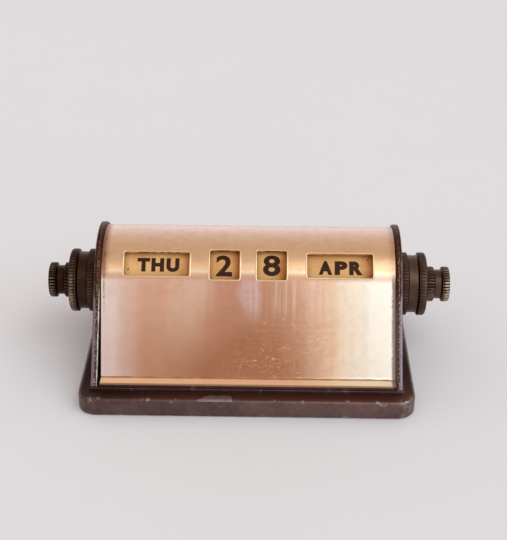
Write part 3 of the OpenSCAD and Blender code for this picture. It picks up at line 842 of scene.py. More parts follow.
@stored
def copper_sheet(name):
    """Brushed copper: golden over the curve, rose in the middle of the front and pale at its sides, with
    painted highlights, reflections and shade.
    """
    c = settings().colours
    h = settings().hood_colours
    material, tree, shader = new_material(name)
    clouds = effect_node(tree, "Patches", Scale=30.0, Shift=0.4)
    lines = effect_node(tree, "Scratches", Scale=48.0, Width=0.007, Cover=0.70)["Mask"]
    brushing = effect_node(tree, "Brushing", Scale=1500.0)["Lines"]
    where = split(tree, "Object")
    x, y, z = where["X"], where["Y"], where["Z"]
    run = noise(tree, place_on(tree, (1.0, 0.03, 0.03)), 260, 1, 0.4)
    drifted = times_plus(tree, clouds["Broad"], 0.004, calc(tree, "SUBTRACT", x, 0.0055))
    drifted = times_plus(tree, run, 0.007, drifted)
    in_front = calc(tree, "LESS_THAN", y, 0.0)
    front = times(tree, in_front, without(tree, ramp(tree, z, 0.0375, 0.0415)))
    # back masks the hood's top and back, where a pale colour paints a reflection.
    back = ramp(tree, y, 0.000, 0.017)
    lower = without(tree, ramp(tree, z, 0.004, 0.046))
    golden = ramp(tree, drifted, 0.010, 0.047)
    right = ramp(tree, times_plus(tree, lower, -0.010, drifted), 0.020, 0.050)
    left = without(tree, ramp(tree, drifted, -0.058, -0.032))
    # handled: tarnish in the middle of the front, which also paints its darker reflection.
    handled = without(tree, ramp(tree, apart(tree, drifted, 0.001), 0.0, 0.036))
    handled = times_plus(tree, handled, 0.55, times(tree, lower, 0.7), clamp=True)
    handled = times(tree, handled, calc(tree, "SUBTRACT", front, times(tree, golden, 0.9)), clamp=True)
    under = ramp(tree, times_plus(tree, clouds["Broad"], 0.004, z), 0.016, 0.037)
    right_under = times(tree, ramp(tree, z, 0.0245, 0.0330), front)
    under = times(tree, under, front)

    def stripe(centre, half, soft):
        """An upright stripe: its middle, half its width and its softness in millimetres."""
        away = apart(tree, drifted, centre * MM)
        return without(tree, ramp(tree, away, (half - soft) * MM, (half + soft) * MM))

    runs = noise(tree, place_on(tree, (1.0, 0.025, 0.025), shift=(0.2, 0, 0)), 850, 1, 0.5)
    runs = ramp(tree, runs, 0.50, 0.68)
    # A painted reflection: a pale upright streak left of the middle.
    reflection_streak = times(tree, stripe(-20.5, 7.0, 6.0), under)
    mauve = greater(tree, stripe(0.6, 4.2, 2.0), times(tree, stripe(20.5, 2.4, 1.6), 0.35))
    mauve = times(tree, mauve, right_under)
    rosy = times(tree, stripe(-9.8, 4.6, 3.6), under)
    run_marks = times(tree, times(tree, runs, stripe(12.0, 14.0, 5.0)), right_under)
    # pale and far mask the front's sides, where pale haze also paints the highlights.
    pale = times(tree, greater(tree, right, times(tree, left, times_plus(tree, under, 0.2, 0.8))), front)
    far = times(tree, ramp(tree, drifted, 0.028, 0.042), front)
    blotch = times(tree, ramp(tree, clouds["Fine"], 0.46, 0.62), times_plus(tree, pale, -0.09, 0.10))
    flecks = effect_node(tree, "Pits", Scale=1000.0, Cover=0.26)["Mask"]
    marked = times(tree, lines, times(tree, stripe(14.0, 20.0, 9.0), times_plus(tree, lower, 0.6, 0.2)))
    ground = washes(
        tree,
        blend_colours(tree, front, c.golden, c.copper),
        (times(tree, back, 0.9), h.back),
        (handled, c.tarnish),
        (times(tree, golden, front), h.amber),
        (pale, blend_colours(tree, left, c.haze, h.pink_haze)),
        (times(tree, far, 0.6), h.cream),
        (times(tree, reflection_streak, 0.5), h.light_patch),
        (times(tree, rosy, 0.5), h.rosy),
        (times(tree, mauve, 0.5), h.mauve),
        (times(tree, run_marks, 0.26), h.run_mark),
        (blotch, c.tarnish),
        (times(tree, flecks, times_plus(tree, front, -0.5, 0.6)), h.fleck),
        (marked, h.scratch),
    )
    # A painted highlight along the bend, with painted shade just under it.
    bend = times_plus(tree, clouds["Fine"], 0.0006, z)
    painted_bend_highlight = without(tree, ramp(tree, apart(tree, bend, BEND_Z), 0.0, 0.0009))
    shaded = without(tree, ramp(tree, apart(tree, bend, BEND_SHADE_Z), 0.0, 0.0013))
    shape = HoodShape()
    foot, skew = shape.foot, shape.s.skew
    from_foot = {0: 0.0, 1: calc(tree, "SUBTRACT", y, foot.x), 2: calc(tree, "SUBTRACT", z, foot.y)}
    from_crease = vector_calc(tree, "LENGTH", node(tree, "CombineXYZ", from_foot).outputs[0])["Value"]
    on_lip = times(tree, without(tree, ramp(tree, z, foot.y, foot.y + 0.4 * MM)), in_front)
    # dirt paints the shade in the crease where the front lip turns out.
    dirt = without(tree, ramp(tree, times_plus(tree, clouds["Fine"], 0.0008, from_crease), 0.0006, 0.0010))
    # rim masks the lip's front edge, which gets painted shade.
    rim = without(tree, ramp(tree, y, shape.front_lip, shape.front_lip + 0.4 * MM))
    ground = washes(
        tree,
        ground,
        (times(tree, times(tree, painted_bend_highlight, in_front), 0.7), h.bend_light),
        (times(tree, times(tree, shaded, in_front), 0.45), h.bend_shade),
        (on_lip, blend_colours(tree, golden, h.lip, h.lip_right)),
        (times(tree, dirt, 0.8), h.crease),
        (times(tree, times(tree, rim, on_lip), 0.7), h.lip_rim),
    )
    short = times_plus(tree, z, -skew / CUT_HEIGHT, skew * CUT_TOP)
    edge_x = greater(tree, x, calc(tree, "SUBTRACT", greater(tree, short, 0.0), x))
    inset = calc(tree, "SUBTRACT", shape.high.x, edge_x)
    crumbs = noise(tree, place_on(tree), 2000, 2, 0.7)
    on_curve = without(tree, front)
    # soft_side: a brown band beside the end plates, partly painted shade, stronger on the left.
    soft_side = without(tree, ramp(tree, times_plus(tree, clouds["Fine"], -0.0012, inset), -0.0004, 0.0024))
    on_left = calc(tree, "LESS_THAN", x, 0.0)
    soft_side = times(tree, times(tree, soft_side, on_curve), times_plus(tree, on_left, 0.45, 0.4))
    ground = blend_colours(tree, soft_side, ground, h.side_brown)
    freckled = without(tree, ramp(tree, apart(tree, inset, 0.0011), 0.0001, 0.0005))
    freckled = times(tree, freckled, ramp(tree, crumbs, 0.46, 0.52))
    high_left = times(tree, on_left, calc(tree, "LESS_THAN", z, 0.0455))
    freckled = times(tree, freckled, times(tree, ramp(tree, z, 0.026, 0.034), high_left))
    rusty = without(tree, ramp(tree, times_plus(tree, crumbs, -0.0022, inset), -0.0002, 0.0005))
    rusty = times(tree, times(tree, rusty, ramp(tree, x, 0, 0.01)), front)
    side = greater(tree, freckled, rusty)
    ground = blend_colours(tree, times(tree, side, 0.85), ground, h.side_rust)
    feed(tree, shader, Base_Color=ground)
    rough = times_plus(tree, brushing, 0.12, 0.19)
    rough = times_plus(tree, greater(tree, side, on_lip), 0.18, rough)
    feed(tree, shader, Roughness=rough)
    feed(tree, shader, Metallic=times_plus(tree, on_lip, -0.6, 1.0))
    swell = noise(tree, place_on(tree, (1.0, 0.45, 0.45)), 55, 1.0, 0.4)
    bump(
        tree, shader,
        (swell, 0.00016, 0.5),
        (run, 0.00006, 0.4),
        (brushing, 0.000006, 0.4),
        (marked, -0.00002, 0.4),
        (clouds["Fine"], 0.000006, 0.3),
    )
    return material


@stored
def polished_bead(name):
    """Copper rubbed bright on the beads round the windows, with painted shade above the windows' middle."""
    c = settings().colours
    material, tree, shader = new_material(name, Metallic=1.0)
    clouds = effect_node(tree, "Patches", Scale=160.0, Shift=0.2)
    dull = times(tree, clouds["Broad"], 0.35)
    shape = HoodShape()
    where = vector_calc(tree, "SUBTRACT", coordinates(tree), AXIS)[0]
    up = vector_calc(tree, "DOT_PRODUCT", where, (0, shape.up.x, shape.up.y))["Value"]
    # above paints shade on the upper half of each bead.
    above = times(tree, ramp(tree, up, 0.0005, 0.0045), 0.6)
    ground = blend_colours(tree, dull, c.bead, c.copper)
    feed(tree, shader, Base_Color=blend_colours(tree, above, ground, settings().hood_colours.bead_brown))
    feed(tree, shader, Roughness=times_plus(tree, clouds["Fine"], 0.2, 0.22))
    bump(tree, shader, (clouds["Fine"], 0.00003, 0.4))
    return material


@stored
def aged_paper(name, shift, from_x, to_x, browning):
    """Yellowed paper with fine fibre and foxing, with painted shade towards both sides of its window."""
    c = settings().colours
    material, tree, shader = new_material(name, Specular_IOR_Level=0.3)
    clouds = effect_node(tree, "Patches", Scale=110.0, Shift=shift)
    spots = effect_node(tree, "Pits", Scale=500.0, Cover=0.35)["Mask"]
    x = split(tree, "Object")["X"]
    x = times_plus(tree, clouds["Broad"], 0.0012, x)
    # Painted shade of the window's walls along both sides of the window.
    left_window_shade = without(tree, ramp(tree, x, from_x, from_x + 2.5 * MM))
    right_window_shade = ramp(tree, x, to_x - 4.0 * MM, to_x + 0.8 * MM)
    brown = times_plus(tree, clouds["Broad"], 0.35, browning)
    brown = times_plus(tree, left_window_shade, 0.35, times_plus(tree, right_window_shade, 0.85, brown), clamp=True)
    ground = blend_colours(tree, brown, c.paper, c.paper_brown)
    light = times(tree, ramp(tree, clouds["Fine"], 0.5, 0.8), 0.5)
    ground = blend_colours(tree, light, ground, c.paper_light)
    feed(tree, shader, Base_Color=blend_colours(tree, times(tree, spots, 0.35), ground, c.paper_brown))
    feed(tree, shader, Roughness=times_plus(tree, clouds["Fine"], 0.2, 0.5))
    fibre = noise(tree, place_on(tree, (0.25, 1, 1)), 3500, 3, 0.7)
    bump(tree, shader, (fibre, 0.00003, 0.35))
    return material


@stored
def printing_ink(name):
    """Dense brown-black ink, a little rubbed."""
    c = settings().colours
    material, tree, shader = new_material(name, Specular_IOR_Level=0.15)
    clouds = effect_node(tree, "Patches", Scale=260.0, Shift=0.7)
    thin = times(tree, ramp(tree, clouds["Fine"], 0.5, 0.8), 0.3)
    feed(tree, shader, Base_Color=blend_colours(tree, thin, c.ink, c.ink_thin))
    feed(tree, shader, Roughness=times_plus(tree, clouds["Broad"], 0.1, 0.42))
    bump(tree, shader, (clouds["Fine"], 0.00001, 0.3))
    return material


@stored
def turned_metal(name, colour, dull, lathe):
    """Plain turned or rolled metal with tool marks along its turning and a little dirt."""
    material, tree, shader = new_material(name, Metallic=1.0)
    clouds = effect_node(tree, "Patches", Scale=180.0, Shift=0.9)
    marks = noise(tree, place_on(tree, (1, 0.05, 0.05)), lathe, 3, 0.7)
    dirt = times(tree, clouds["Broad"], dull)
    dark = tuple(0.35 * v for v in colour)
    feed(tree, shader, Base_Color=blend_colours(tree, dirt, colour, dark))
    rough = times_plus(tree, clouds["Fine"], 0.18, 0.24)
    feed(tree, shader, Roughness=times_plus(tree, dirt, 0.2, rough))
    bump(tree, shader, (marks, 0.00002, 0.4))
    return material


@stored
def wool_felt(name):
    """Matted green felt with short crossing fibres."""
    c = settings().colours
    material, tree, shader = new_material(name, Sheen_Weight=0.4, Sheen_Roughness=0.6)
    clouds = effect_node(tree, "Patches", Scale=90.0, Shift=0.3)
    fibre = noise(tree, place_on(tree, (1, 0.3, 1), (0, 0, 0.7)), 2600, 4, 0.75)
    crossing = noise(tree, place_on(tree, (0.3, 1, 1), (0, 0, -0.5)), 2600, 4, 0.75)
    mat = greater(tree, fibre, crossing)
    pale = blend_colours(tree, ramp(tree, mat, 0.5, 0.75), c.felt, tuple(2.2 * v for v in c.felt))
    worn = blend_colours(tree, times(tree, clouds["Broad"], 0.3), pale, c.felt_dust)
    feed(tree, shader, Base_Color=worn)
    feed(tree, shader, Roughness=times_plus(tree, mat, 0.1, 0.85))
    bump(tree, shader, (mat, 0.00015, 0.8))
    return material


@stored
def pale_table(name):
    """Smooth pale table with the faintest mottle."""
    c = settings().colours
    material, tree, shader = new_material(name, Roughness=0.6, Specular_IOR_Level=0.3)
    clouds = effect_node(tree, "Patches", Scale=9.0, Shift=0.1)
    soft = blend_colours(tree, times(tree, clouds["Broad"], 0.5), c.floor, tuple(0.985 * v for v in c.floor))
    feed(tree, shader, Base_Color=soft)
    return material


@stored
def rim_bronze(name, shift):
    """Dark end plate: speckled, its rim with a painted mauve sheen towards the outside, and rubbed bare
    inside, lower down, which on the left plate also paints the highlight of its right-facing edge.
    """
    c = settings().colours
    low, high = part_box("right_end_plate")
    width = high.x - low.x
    material, tree, shader = new_material(name, Metallic=1.0)
    clouds = effect_node(tree, "Patches", Scale=70.0, Shift=shift)
    pits = effect_node(tree, "Pits", Scale=1500.0, Cover=0.35)["Mask"]
    where = split(tree, "Object")
    crumbs = noise(tree, place_on(tree, shift=(shift, 0, 0)), 2400, 2, 0.7)
    out = calc(tree, "DIVIDE", calc(tree, "SUBTRACT", calc(tree, "ABSOLUTE", where["X"]), low.x), width)
    out = times_plus(tree, calc(tree, "SUBTRACT", clouds["Fine"], 0.5), 0.5, out)
    height = times_plus(tree, clouds["Broad"], 0.008, where["Z"])
    lower = without(tree, ramp(tree, height, 0.030, 0.048))
    ground = blend_colours(tree, ramp(tree, crumbs, 0.44, 0.60), c.patina, c.rim_speckle)
    # mauve paints a sheen over the rim, towards the outside and lower down.
    mauve = ramp(tree, times_plus(tree, lower, 0.4, out), 0.78, 1.08)
    mauve = times(tree, mauve, times_plus(tree, ramp(tree, crumbs, 0.35, 0.6), 0.5, 0.5))
    sideways = calc(tree, "ABSOLUTE", split(tree, "Normal")["X"])
    on_side = ramp(tree, sideways, 0.80, 0.97)
    mauve = times(tree, mauve, times_plus(tree, on_side, -0.8, 1.0))
    ground = blend_colours(tree, mauve, ground, c.rubbed_rim)
    on_line = without(tree, ramp(tree, apart(tree, out, 0.42), 0.04, 0.20))
    sparks = times(tree, times(tree, on_line, ramp(tree, crumbs, 0.55, 0.62)), 0.8)
    # inner: bare metal low on the inner edge, strongest on the left plate, where it also paints the highlight
    # of that right-facing edge.
    inner = without(tree, ramp(tree, out, 0.06, 0.22))
    inner = times(tree, times(tree, inner, lower), ramp(tree, clouds["Fine"], 0.30, 0.46))
    inner = times(tree, inner, times_plus(tree, calc(tree, "LESS_THAN", where["X"], 0.0), 0.7, 0.3))
    bare = greater(tree, sparks, inner)
    bright = blend_colours(tree, lower, c.rim_spark, c.worn)
    feed(tree, shader, Base_Color=blend_colours(tree, bare, ground, bright))
    rough = times_plus(tree, clouds["Fine"], 0.2, 0.30)
    feed(tree, shader, Roughness=times_plus(tree, bare, -0.08, rough))
    depth = calc(tree, "SUBTRACT", crumbs, times(tree, pits, 0.8))
    bump(tree, shader, (depth, 0.00006, 0.6))
    return material


@stored
def knurled_bronze(name, radius, outer_from, crest, haze, shift):
    """Dark turned knob: brown where handled (haze), bare on its knurl's crests (crest) beyond outer_from,
    only where they face level and not up or down, which paints their highlight.
    """
    c = settings().colours
    material, tree, shader = new_material(name, Metallic=1.0)
    clouds = effect_node(tree, "Patches", Scale=110.0, Shift=shift)
    lathe = noise(tree, place_on(tree, (1, 0.02, 0.02), shift=(shift, 0, 0)), 2200, 2, 0.6)
    spoke = vector_calc(tree, "SUBTRACT", coordinates(tree), (0, AXIS.y, AXIS.z))[0]
    spoke = vector_calc(tree, "MULTIPLY", spoke, (0, 1, 1))[0]
    spoke = vector_calc(tree, "LENGTH", spoke)["Value"]
    faces_up = split(tree, "Normal")["Z"]
    handled = times(tree, times_plus(tree, clouds["Broad"], 0.35, 0.65), haze)
    handled = times(tree, handled, times_plus(tree, lathe, 0.6, 0.6), clamp=True)
    on_flange = ramp(tree, spoke, radius - 1.0 * MM, radius - 0.4 * MM)
    handled = times(tree, handled, times_plus(tree, on_flange, -0.45, 1.0))
    outside = calc(tree, "ABSOLUTE", split(tree, "Object")["X"])
    outside = times_plus(tree, ramp(tree, outside, outer_from - 0.3 * MM, outer_from + 0.3 * MM), 0.8, 0.2)
    ground = blend_colours(tree, handled, c.knob, c.knob_brown)
    bare = times(tree, ramp(tree, spoke, radius - 0.28 * MM, radius - 0.06 * MM), times(tree, outside, crest))
    # Only crests that face level, not up or down, keep the bare colour: a painted highlight.
    bare = times(tree, bare, without(tree, ramp(tree, apart(tree, faces_up, 0.15), 0.30, 0.62)))
    bare = times(tree, bare, ramp(tree, clouds["Fine"], 0.30, 0.55))
    bare = times(tree, bare, times_plus(tree, clouds["Broad"], 0.5, 0.5))
    feed(tree, shader, Base_Color=blend_colours(tree, bare, ground, c.knob_worn))
    rough = times_plus(tree, clouds["Fine"], 0.2, 0.28)
    feed(tree, shader, Roughness=times_plus(tree, bare, -0.1, rough))
    bump(tree, shader, (lathe, 0.00002, 0.4), (clouds["Fine"], 0.00004, 0.4))
    return material


def patina_for(name, rubbed, wear, chips, haze, shift):
    c = settings().colours
    dark, brown, chipped = tuple(c.patina), tuple(c.patina_brown), tuple(c.chipped)
    return patinated(name, dark, brown, tuple(rubbed), chipped, wear, chips, haze, shift)


# ---------------------------------------------------------------- base


def make_base():
    s = settings().base
    low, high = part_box("base")
    obj = slab("base_casting", low, high)
    edit(obj)
    round_edges(s.corner, 10, upright)
    round_edges(s.top_edge, 5, lambda e: min(v.co.z for v in e.verts) > high.z - 1e-6)
    round_edges(s.foot_edge, 3, lambda e: max(v.co.z for v in e.verts) < low.z + 1e-6)
    pick("faces", lambda f: f.normal.z < -0.99)
    bpy.ops.mesh.inset(thickness=s.rim - s.foot_edge, depth=0)
    bpy.ops.mesh.extrude_region_move(TRANSFORM_OT_translate={"value": (0, 0, s.pocket)})
    done()
    rule(obj, 0, s.grid)
    rule(obj, 1, s.grid)
    rule(obj, 2, s.grid)
    tidy_shell(obj)
    unevenness(obj, 0.016, s.rough, "casting")
    unevenness(obj, 0.003, s.rough * 0.4, "casting_fine")
    keep_within(obj, low, high)
    mark_edges(obj)
    smooth(obj, 40)
    bronze = patina_for("base_bronze", settings().colours.rubbed, 0.75, 1.0, 0.9, 0.0)
    return hand_over(obj, "case", "dark_bronze", bronze, "base")


def keep_within(obj, low, high):
    """Presses what stands out of a box back to its sides."""
    edit(obj)
    for axis in range(3):
        for bound, sign in ((low[axis], -1), (high[axis], 1)):
            if pick("verts", lambda v: sign * (v.co[axis] - bound) > 0):
                flat = [1.0, 1.0, 1.0]
                flat[axis] = 0.0
                centre = [0.0, 0.0, 0.0]
                centre[axis] = bound
                bpy.ops.transform.resize(value=flat, center_override=centre)
    done()


def make_felt():
    low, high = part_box("base_pad")
    obj = slab("base_felt", low, high)
    edit(obj)
    corner = 4.4 * MM
    round_edges(corner, 8, upright)
    round_edges(0.3 * MM, 3, lambda e: max(v.co.z for v in e.verts) < low.z + 1e-6)
    done()
    rule(obj, 0, 2 * MM)
    rule(obj, 1, 2 * MM)
    tidy_shell(obj)
    unevenness(obj, 0.004, 0.12 * MM, "felt")
    keep_within(obj, low, high)
    smooth(obj, 50)
    hand_over(obj, "case", "felt", wool_felt("green_felt"), "base_pad")
    return obj


# ---------------------------------------------------------------- cradle


def plate_outline(node_name):
    """An end plate's outline as (y, z) points from its front foot over the top to its back foot."""
    low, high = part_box(node_name)
    radius = high.z - AXIS.z
    touch = foot_tangent(radius, (low.y, low.z))
    start = math.atan2(touch.y - AXIS.z, touch.x - AXIS.y)
    steps = 60
    arc = [start * (1 - i / steps) for i in range(steps + 1)]
    points = [(low.y, low.z)]
    points += [(AXIS.y + radius * math.cos(a), AXIS.z + radius * math.sin(a)) for a in arc]
    return points + [(AXIS.y + radius, low.z)]


def make_end_plate():
    """The right end plate, filled in from its outline, extruded and with its rim rounded."""
    s = settings().cradle
    low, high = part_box("right_end_plate")
    obj = draw_line("right_plate", [(low.x, y, z) for y, z in plate_outline("right_end_plate")], closed=True)
    edit(obj)
    bpy.ops.mesh.select_all(action="SELECT")
    bpy.ops.mesh.edge_face_add()
    bpy.ops.mesh.extrude_region_move(TRANSFORM_OT_translate={"value": (high.x - low.x, 0, 0)})
    bpy.ops.mesh.select_all(action="SELECT")
    bpy.ops.mesh.normals_make_consistent(inside=False)

    def on_rim(edge):
        across = abs(edge.verts[0].co.x - edge.verts[1].co.x)
        return across < 1e-6 and max(v.co.z for v in edge.verts) > low.z + 1e-5

    round_edges(s.rim_break, 3, on_rim)
    done()
    rule(obj, 1, 1.2 * MM)
    rule(obj, 2, 1.2 * MM)
    tidy_shell(obj)
    unevenness(obj, 0.012, s.rough, "plate")
    keep_within(obj, low, high)
    return obj


def make_end_plates():
    right = make_end_plate()
    left = mirrored(right, "left_plate")
    for obj, side, shift in ((left, "left", 0.31), (right, "right", 0.57)):
        mark_edges(obj)
        smooth(obj, 40)
        hand_over(obj, "case", "plate_bronze", rim_bronze(f"{side}_plate_bronze", shift), f"{side}_end_plate")


def make_lip_rail(low, high):
    """The low rail on the floor plate that carries the hood's front lip."""
    s = settings().cradle
    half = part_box("cover")[1].x - 0.4 * MM
    front = low.y + s.rail_back
    rail = slab(
        "lip_rail",
        (-half, front, high.z - 0.3 * MM),
        (half, front + s.rail_w, high.z + settings().hood.lip_rise),
    )
    edit(rail)
    round_edges(0.2 * MM, 2, lambda e: middle(e).y < front + 1e-6 and middle(e).z > high.z + 1e-6)
    done()
    rule(rail, 0, 1.5 * MM)
    return tidy_shell(rail)


def make_floor_plate():
    s = settings().cradle
    low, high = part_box("floor_plate")
    obj = slab("cradle_floor", low, high)
    edit(obj)
    round_edges(0.8 * MM, 4, upright)
    round_edges(s.floor_edge, 3, lambda e: min(v.co.z for v in e.verts) > high.z - 1e-6)
    done()
    rule(obj, 0, 1.2 * MM)
    rule(obj, 1, 1.2 * MM)
    tidy_shell(obj)
    unevenness(obj, 0.009, s.rough, "floor_plate")
    keep_within(obj, low, high)
    obj = join("cradle_floor", [obj, make_lip_rail(low, high)])
    mark_edges(obj)
    smooth(obj, 40)
    bronze = patina_for("floor_bronze", settings().colours.rubbed, 0.35, 0.25, 0.45, 0.83)
    return hand_over(obj, "case", "worn_bronze", bronze, "floor_plate")


# ---------------------------------------------------------------- hood


class HoodShape:
    """Where the copper sheet runs, seen from the side."""

    def __init__(self):
        self.s = settings().hood
        self.low, self.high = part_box("cover")
        back_lip = 2.0 * MM
        self.radius = self.high.y - back_lip - AXIS.y
        self.floor = self.low.z + self.s.sheet
        self.front_z = self.floor + self.s.lip_rise
        self.front_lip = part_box("floor_plate")[0].y + self.s.lip_back
        self.back_lip = self.high.y
        plate_low, plate_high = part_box("right_end_plate")
        touch = foot_tangent(plate_high.z - AXIS.z, (plate_low.y, plate_low.z))
        self.start = math.atan2(touch.y - AXIS.z, touch.x - AXIS.y)
        normal = Vector((math.cos(self.start), math.sin(self.start)))
        self.touch = normal * self.radius + Vector((AXIS.y, AXIS.z))
        self.down = Vector((math.sin(self.start), -math.cos(self.start)))
        if self.down.y > 0:
            self.down.negate()
        fall = (self.front_z - self.touch.y) / self.down.y
        self.foot = self.touch + self.down * fall
        a = self.s.angle
        self.out = Vector((-math.cos(a), math.sin(a)))
        self.up = Vector((math.sin(a), math.cos(a)))

    def at_height(self, v, lift=0.0):
        """The point (y, z) of the sheet's outer face at height v above the windows' middle line."""
        centre = Vector((AXIS.y, AXIS.z))
        radius = self.radius + lift
        rise = math.sqrt(radius * radius - v * v)
        point = centre + self.out * rise + self.up * v
        angle = math.atan2(point.y - centre.y, point.x - centre.x)
        if angle <= self.start:
            return point
        normal = Vector((math.cos(self.start), math.sin(self.start)))
        base = centre + normal * radius
        along = (v - (base - centre).dot(self.up)) / self.down.dot(self.up)
        return base + self.down * along

    def section(self):
        """Points of the outer face from the front lip to the back lip, with one on each window's edge."""
        marks = [
            v for h in (self.s.word_h, self.s.digit_h) for v in (-h / 2 - WINDOW_EDGE, h / 2 + WINDOW_EDGE)
        ]
        on_edges = [self.at_height(v) for v in marks]
        centre = Vector((AXIS.y, AXIS.z))

        def angle_of(p):
            return math.atan2(p.y - centre.y, p.x - centre.x)

        slope = sorted([p for p in on_edges if angle_of(p) > self.start], key=lambda p: p.y)
        curve = sorted([angle_of(p) for p in on_edges if angle_of(p) <= self.start], reverse=True)
        keys = [Vector((self.front_lip, self.front_z)), self.foot, *slope, self.touch]
        points = [keys[0]]
        for a, b in zip(keys, keys[1:]):
            points += self.divide(a, b)
        stops = [self.start, *curve, 0.0]
        for a, b in zip(stops, stops[1:]):
            count = max(1, round(abs(a - b) * self.radius / self.s.grid))
            for i in range(1, count + 1):
                angle = a + (b - a) * i / count
                points.append(centre + Vector((math.cos(angle), math.sin(angle))) * self.radius)
        keys = [points[-1], Vector((points[-1].x, self.floor)), Vector((self.back_lip, self.floor))]
        for a, b in zip(keys, keys[1:]):
            points += self.divide(a, b)
        return points

    def divide(self, a, b):
        count = max(1, round((b - a).length / self.s.grid))
        return [a + (b - a) * i / count for i in range(1, count + 1)]

    def windows(self):
        """The windows as (middle x, width, height)."""
        s = self.s
        return [
            (-s.word_x, s.word_w, s.word_h), (-s.digit_x, s.digit_w, s.digit_h),
            (s.digit_x, s.digit_w, s.digit_h), (s.word_x, s.word_w, s.word_h),
        ]

    def columns(self):
        """Places along X where the sheet has a line of points, with one on each window's edge."""
        stops = [self.low.x, self.high.x]
        for x, w, _ in self.windows():
            stops += [x - w / 2 - WINDOW_EDGE, x + w / 2 + WINDOW_EDGE]
        stops.sort()
        places = [stops[0]]
        for a, b in zip(stops, stops[1:]):
            count = max(1, round((b - a) / self.s.grid))
            places += [a + (b - a) * i / count for i in range(1, count + 1)]
        return places


def make_hood():
    shape = HoodShape()
    s = shape.s
    places = shape.columns()
    obj = draw_line("copper_hood", [(places[0], p.x, p.y) for p in shape.section()])
    edit(obj)
    bpy.ops.mesh.select_all(action="SELECT")
    for a, b in zip(places, places[1:]):
        bpy.ops.mesh.extrude_region_move(TRANSFORM_OT_translate={"value": (b - a, 0, 0)})
    bpy.ops.mesh.select_all(action="SELECT")
    bpy.ops.mesh.normals_make_consistent(inside=False)
    bm = bmesh.from_edit_mesh(obj.data)
    top = max(bm.faces, key=lambda f: middle(f).z)
    if top.normal.z < 0:
        bpy.ops.mesh.flip_normals()
    open_windows(shape)
    cut_askew(shape)
    bend_lips(shape)
    done()
    unevenness(obj, 0.028, s.wave, "sheet")
    use(obj, "SOLIDIFY", thickness=s.sheet, offset=-1, use_even_offset=True)
    keep_within(obj, Vector((shape.low.x, shape.front_lip, shape.low.z)), shape.high)
    mark_edges(obj, 0.3 * MM, 1)
    smooth(obj, 35)
    return hand_over(obj, "case", "copper", copper_sheet("brushed_copper"), "cover")


def open_windows(shape):
    """Deletes the sheet's faces inside the windows."""

    def inside(face):
        centre = middle(face)
        spoke = Vector((centre.y - AXIS.y, centre.z - AXIS.z))
        if spoke.dot(shape.out) < 0:
            return False
        v = spoke.dot(shape.up)
        return any(abs(centre.x - x) < w / 2 and abs(v) < h / 2 for x, w, h in shape.windows())

    if not pick("faces", inside):
        raise RuntimeError("the hood has no faces where its windows are")
    bpy.ops.mesh.delete(type="FACE")


def cut_askew(shape):
    """Trims the sheet's left edge along a line that leans away from the end plate towards the foot."""
    foot = Vector((shape.low.x + shape.s.skew, 0, shape.foot.y))
    top = Vector((shape.low.x, 0, shape.touch.y))
    along = top - foot
    bpy.ops.mesh.select_all(action="SELECT")
    bpy.ops.mesh.bisect(plane_co=foot, plane_no=(along.z, 0, -along.x), clear_inner=True, threshold=1e-6)
    front = max(v.co.x for v in bmesh.from_edit_mesh(bpy.context.object.data).verts)
    if front < shape.high.x - 1e-5:
        raise RuntimeError("the wrong side of the sheet was trimmed")


def bend_lips(shape):
    """Rounds the two bends from which the lips turn out."""
    bends = (shape.foot, Vector((AXIS.y + shape.radius, shape.floor)))

    def on_bend(edge):
        return all(min((Vector((v.co.y, v.co.z)) - b).length for b in bends) < 1e-5 for v in edge.verts)

    round_edges(shape.s.lip_bend, 3, on_bend)


def make_beads():
    """A round bead along each window's edge, from a closed line that follows the sheet."""
    shape = HoodShape()
    s = shape.s
    beads = []
    for number, (x, w, h) in enumerate(shape.windows()):
        reach_out = 0.3 * MM
        ring = rounded_ring(w / 2 + reach_out, h / 2 + reach_out, 0.9 * MM, 0.7 * MM)
        points = []
        for u, v in ring:
            y, z = shape.at_height(v, 0.03 * MM)
            points.append((x + u, y, z))
        obj = draw_line(f"bead_{number}", points, closed=True)
        bpy.ops.object.convert(target="CURVE")
        obj = bpy.context.object
        obj.data.bevel_depth = s.bead
        obj.data.bevel_resolution = 3
        bpy.ops.object.convert(target="MESH")
        beads.append(bpy.context.object)
    obj = join("window_beads", beads)
    tidy_shell(obj)
    unevenness(obj, 0.004, 0.05 * MM, "beads")
    smooth(obj, 60)
    return hand_over(obj, "case", "copper", polished_bead("bead_copper"), "cover")


def rounded_ring(half_w, half_h, corner, step):
    """Points (u, v) round a rectangle with round corners, about a step apart."""
    points = []
    for cx, cy, first in (
        (half_w - corner, half_h - corner, 0), (corner - half_w, half_h - corner, 90),
        (corner - half_w, corner - half_h, 180), (half_w - corner, corner - half_h, 270),
    ):
        for i in range(5):
            a = math.radians(first + 22.5 * i)
            points.append(Vector((cx + corner * math.cos(a), cy + corner * math.sin(a))))
    ring = []
    for a, b in zip(points, points[1:] + points[:1]):
        count = max(1, round((b - a).length / step))
        ring += [a + (b - a) * i / count for i in range(count)]
    return ring


# ---------------------------------------------------------------- knobs


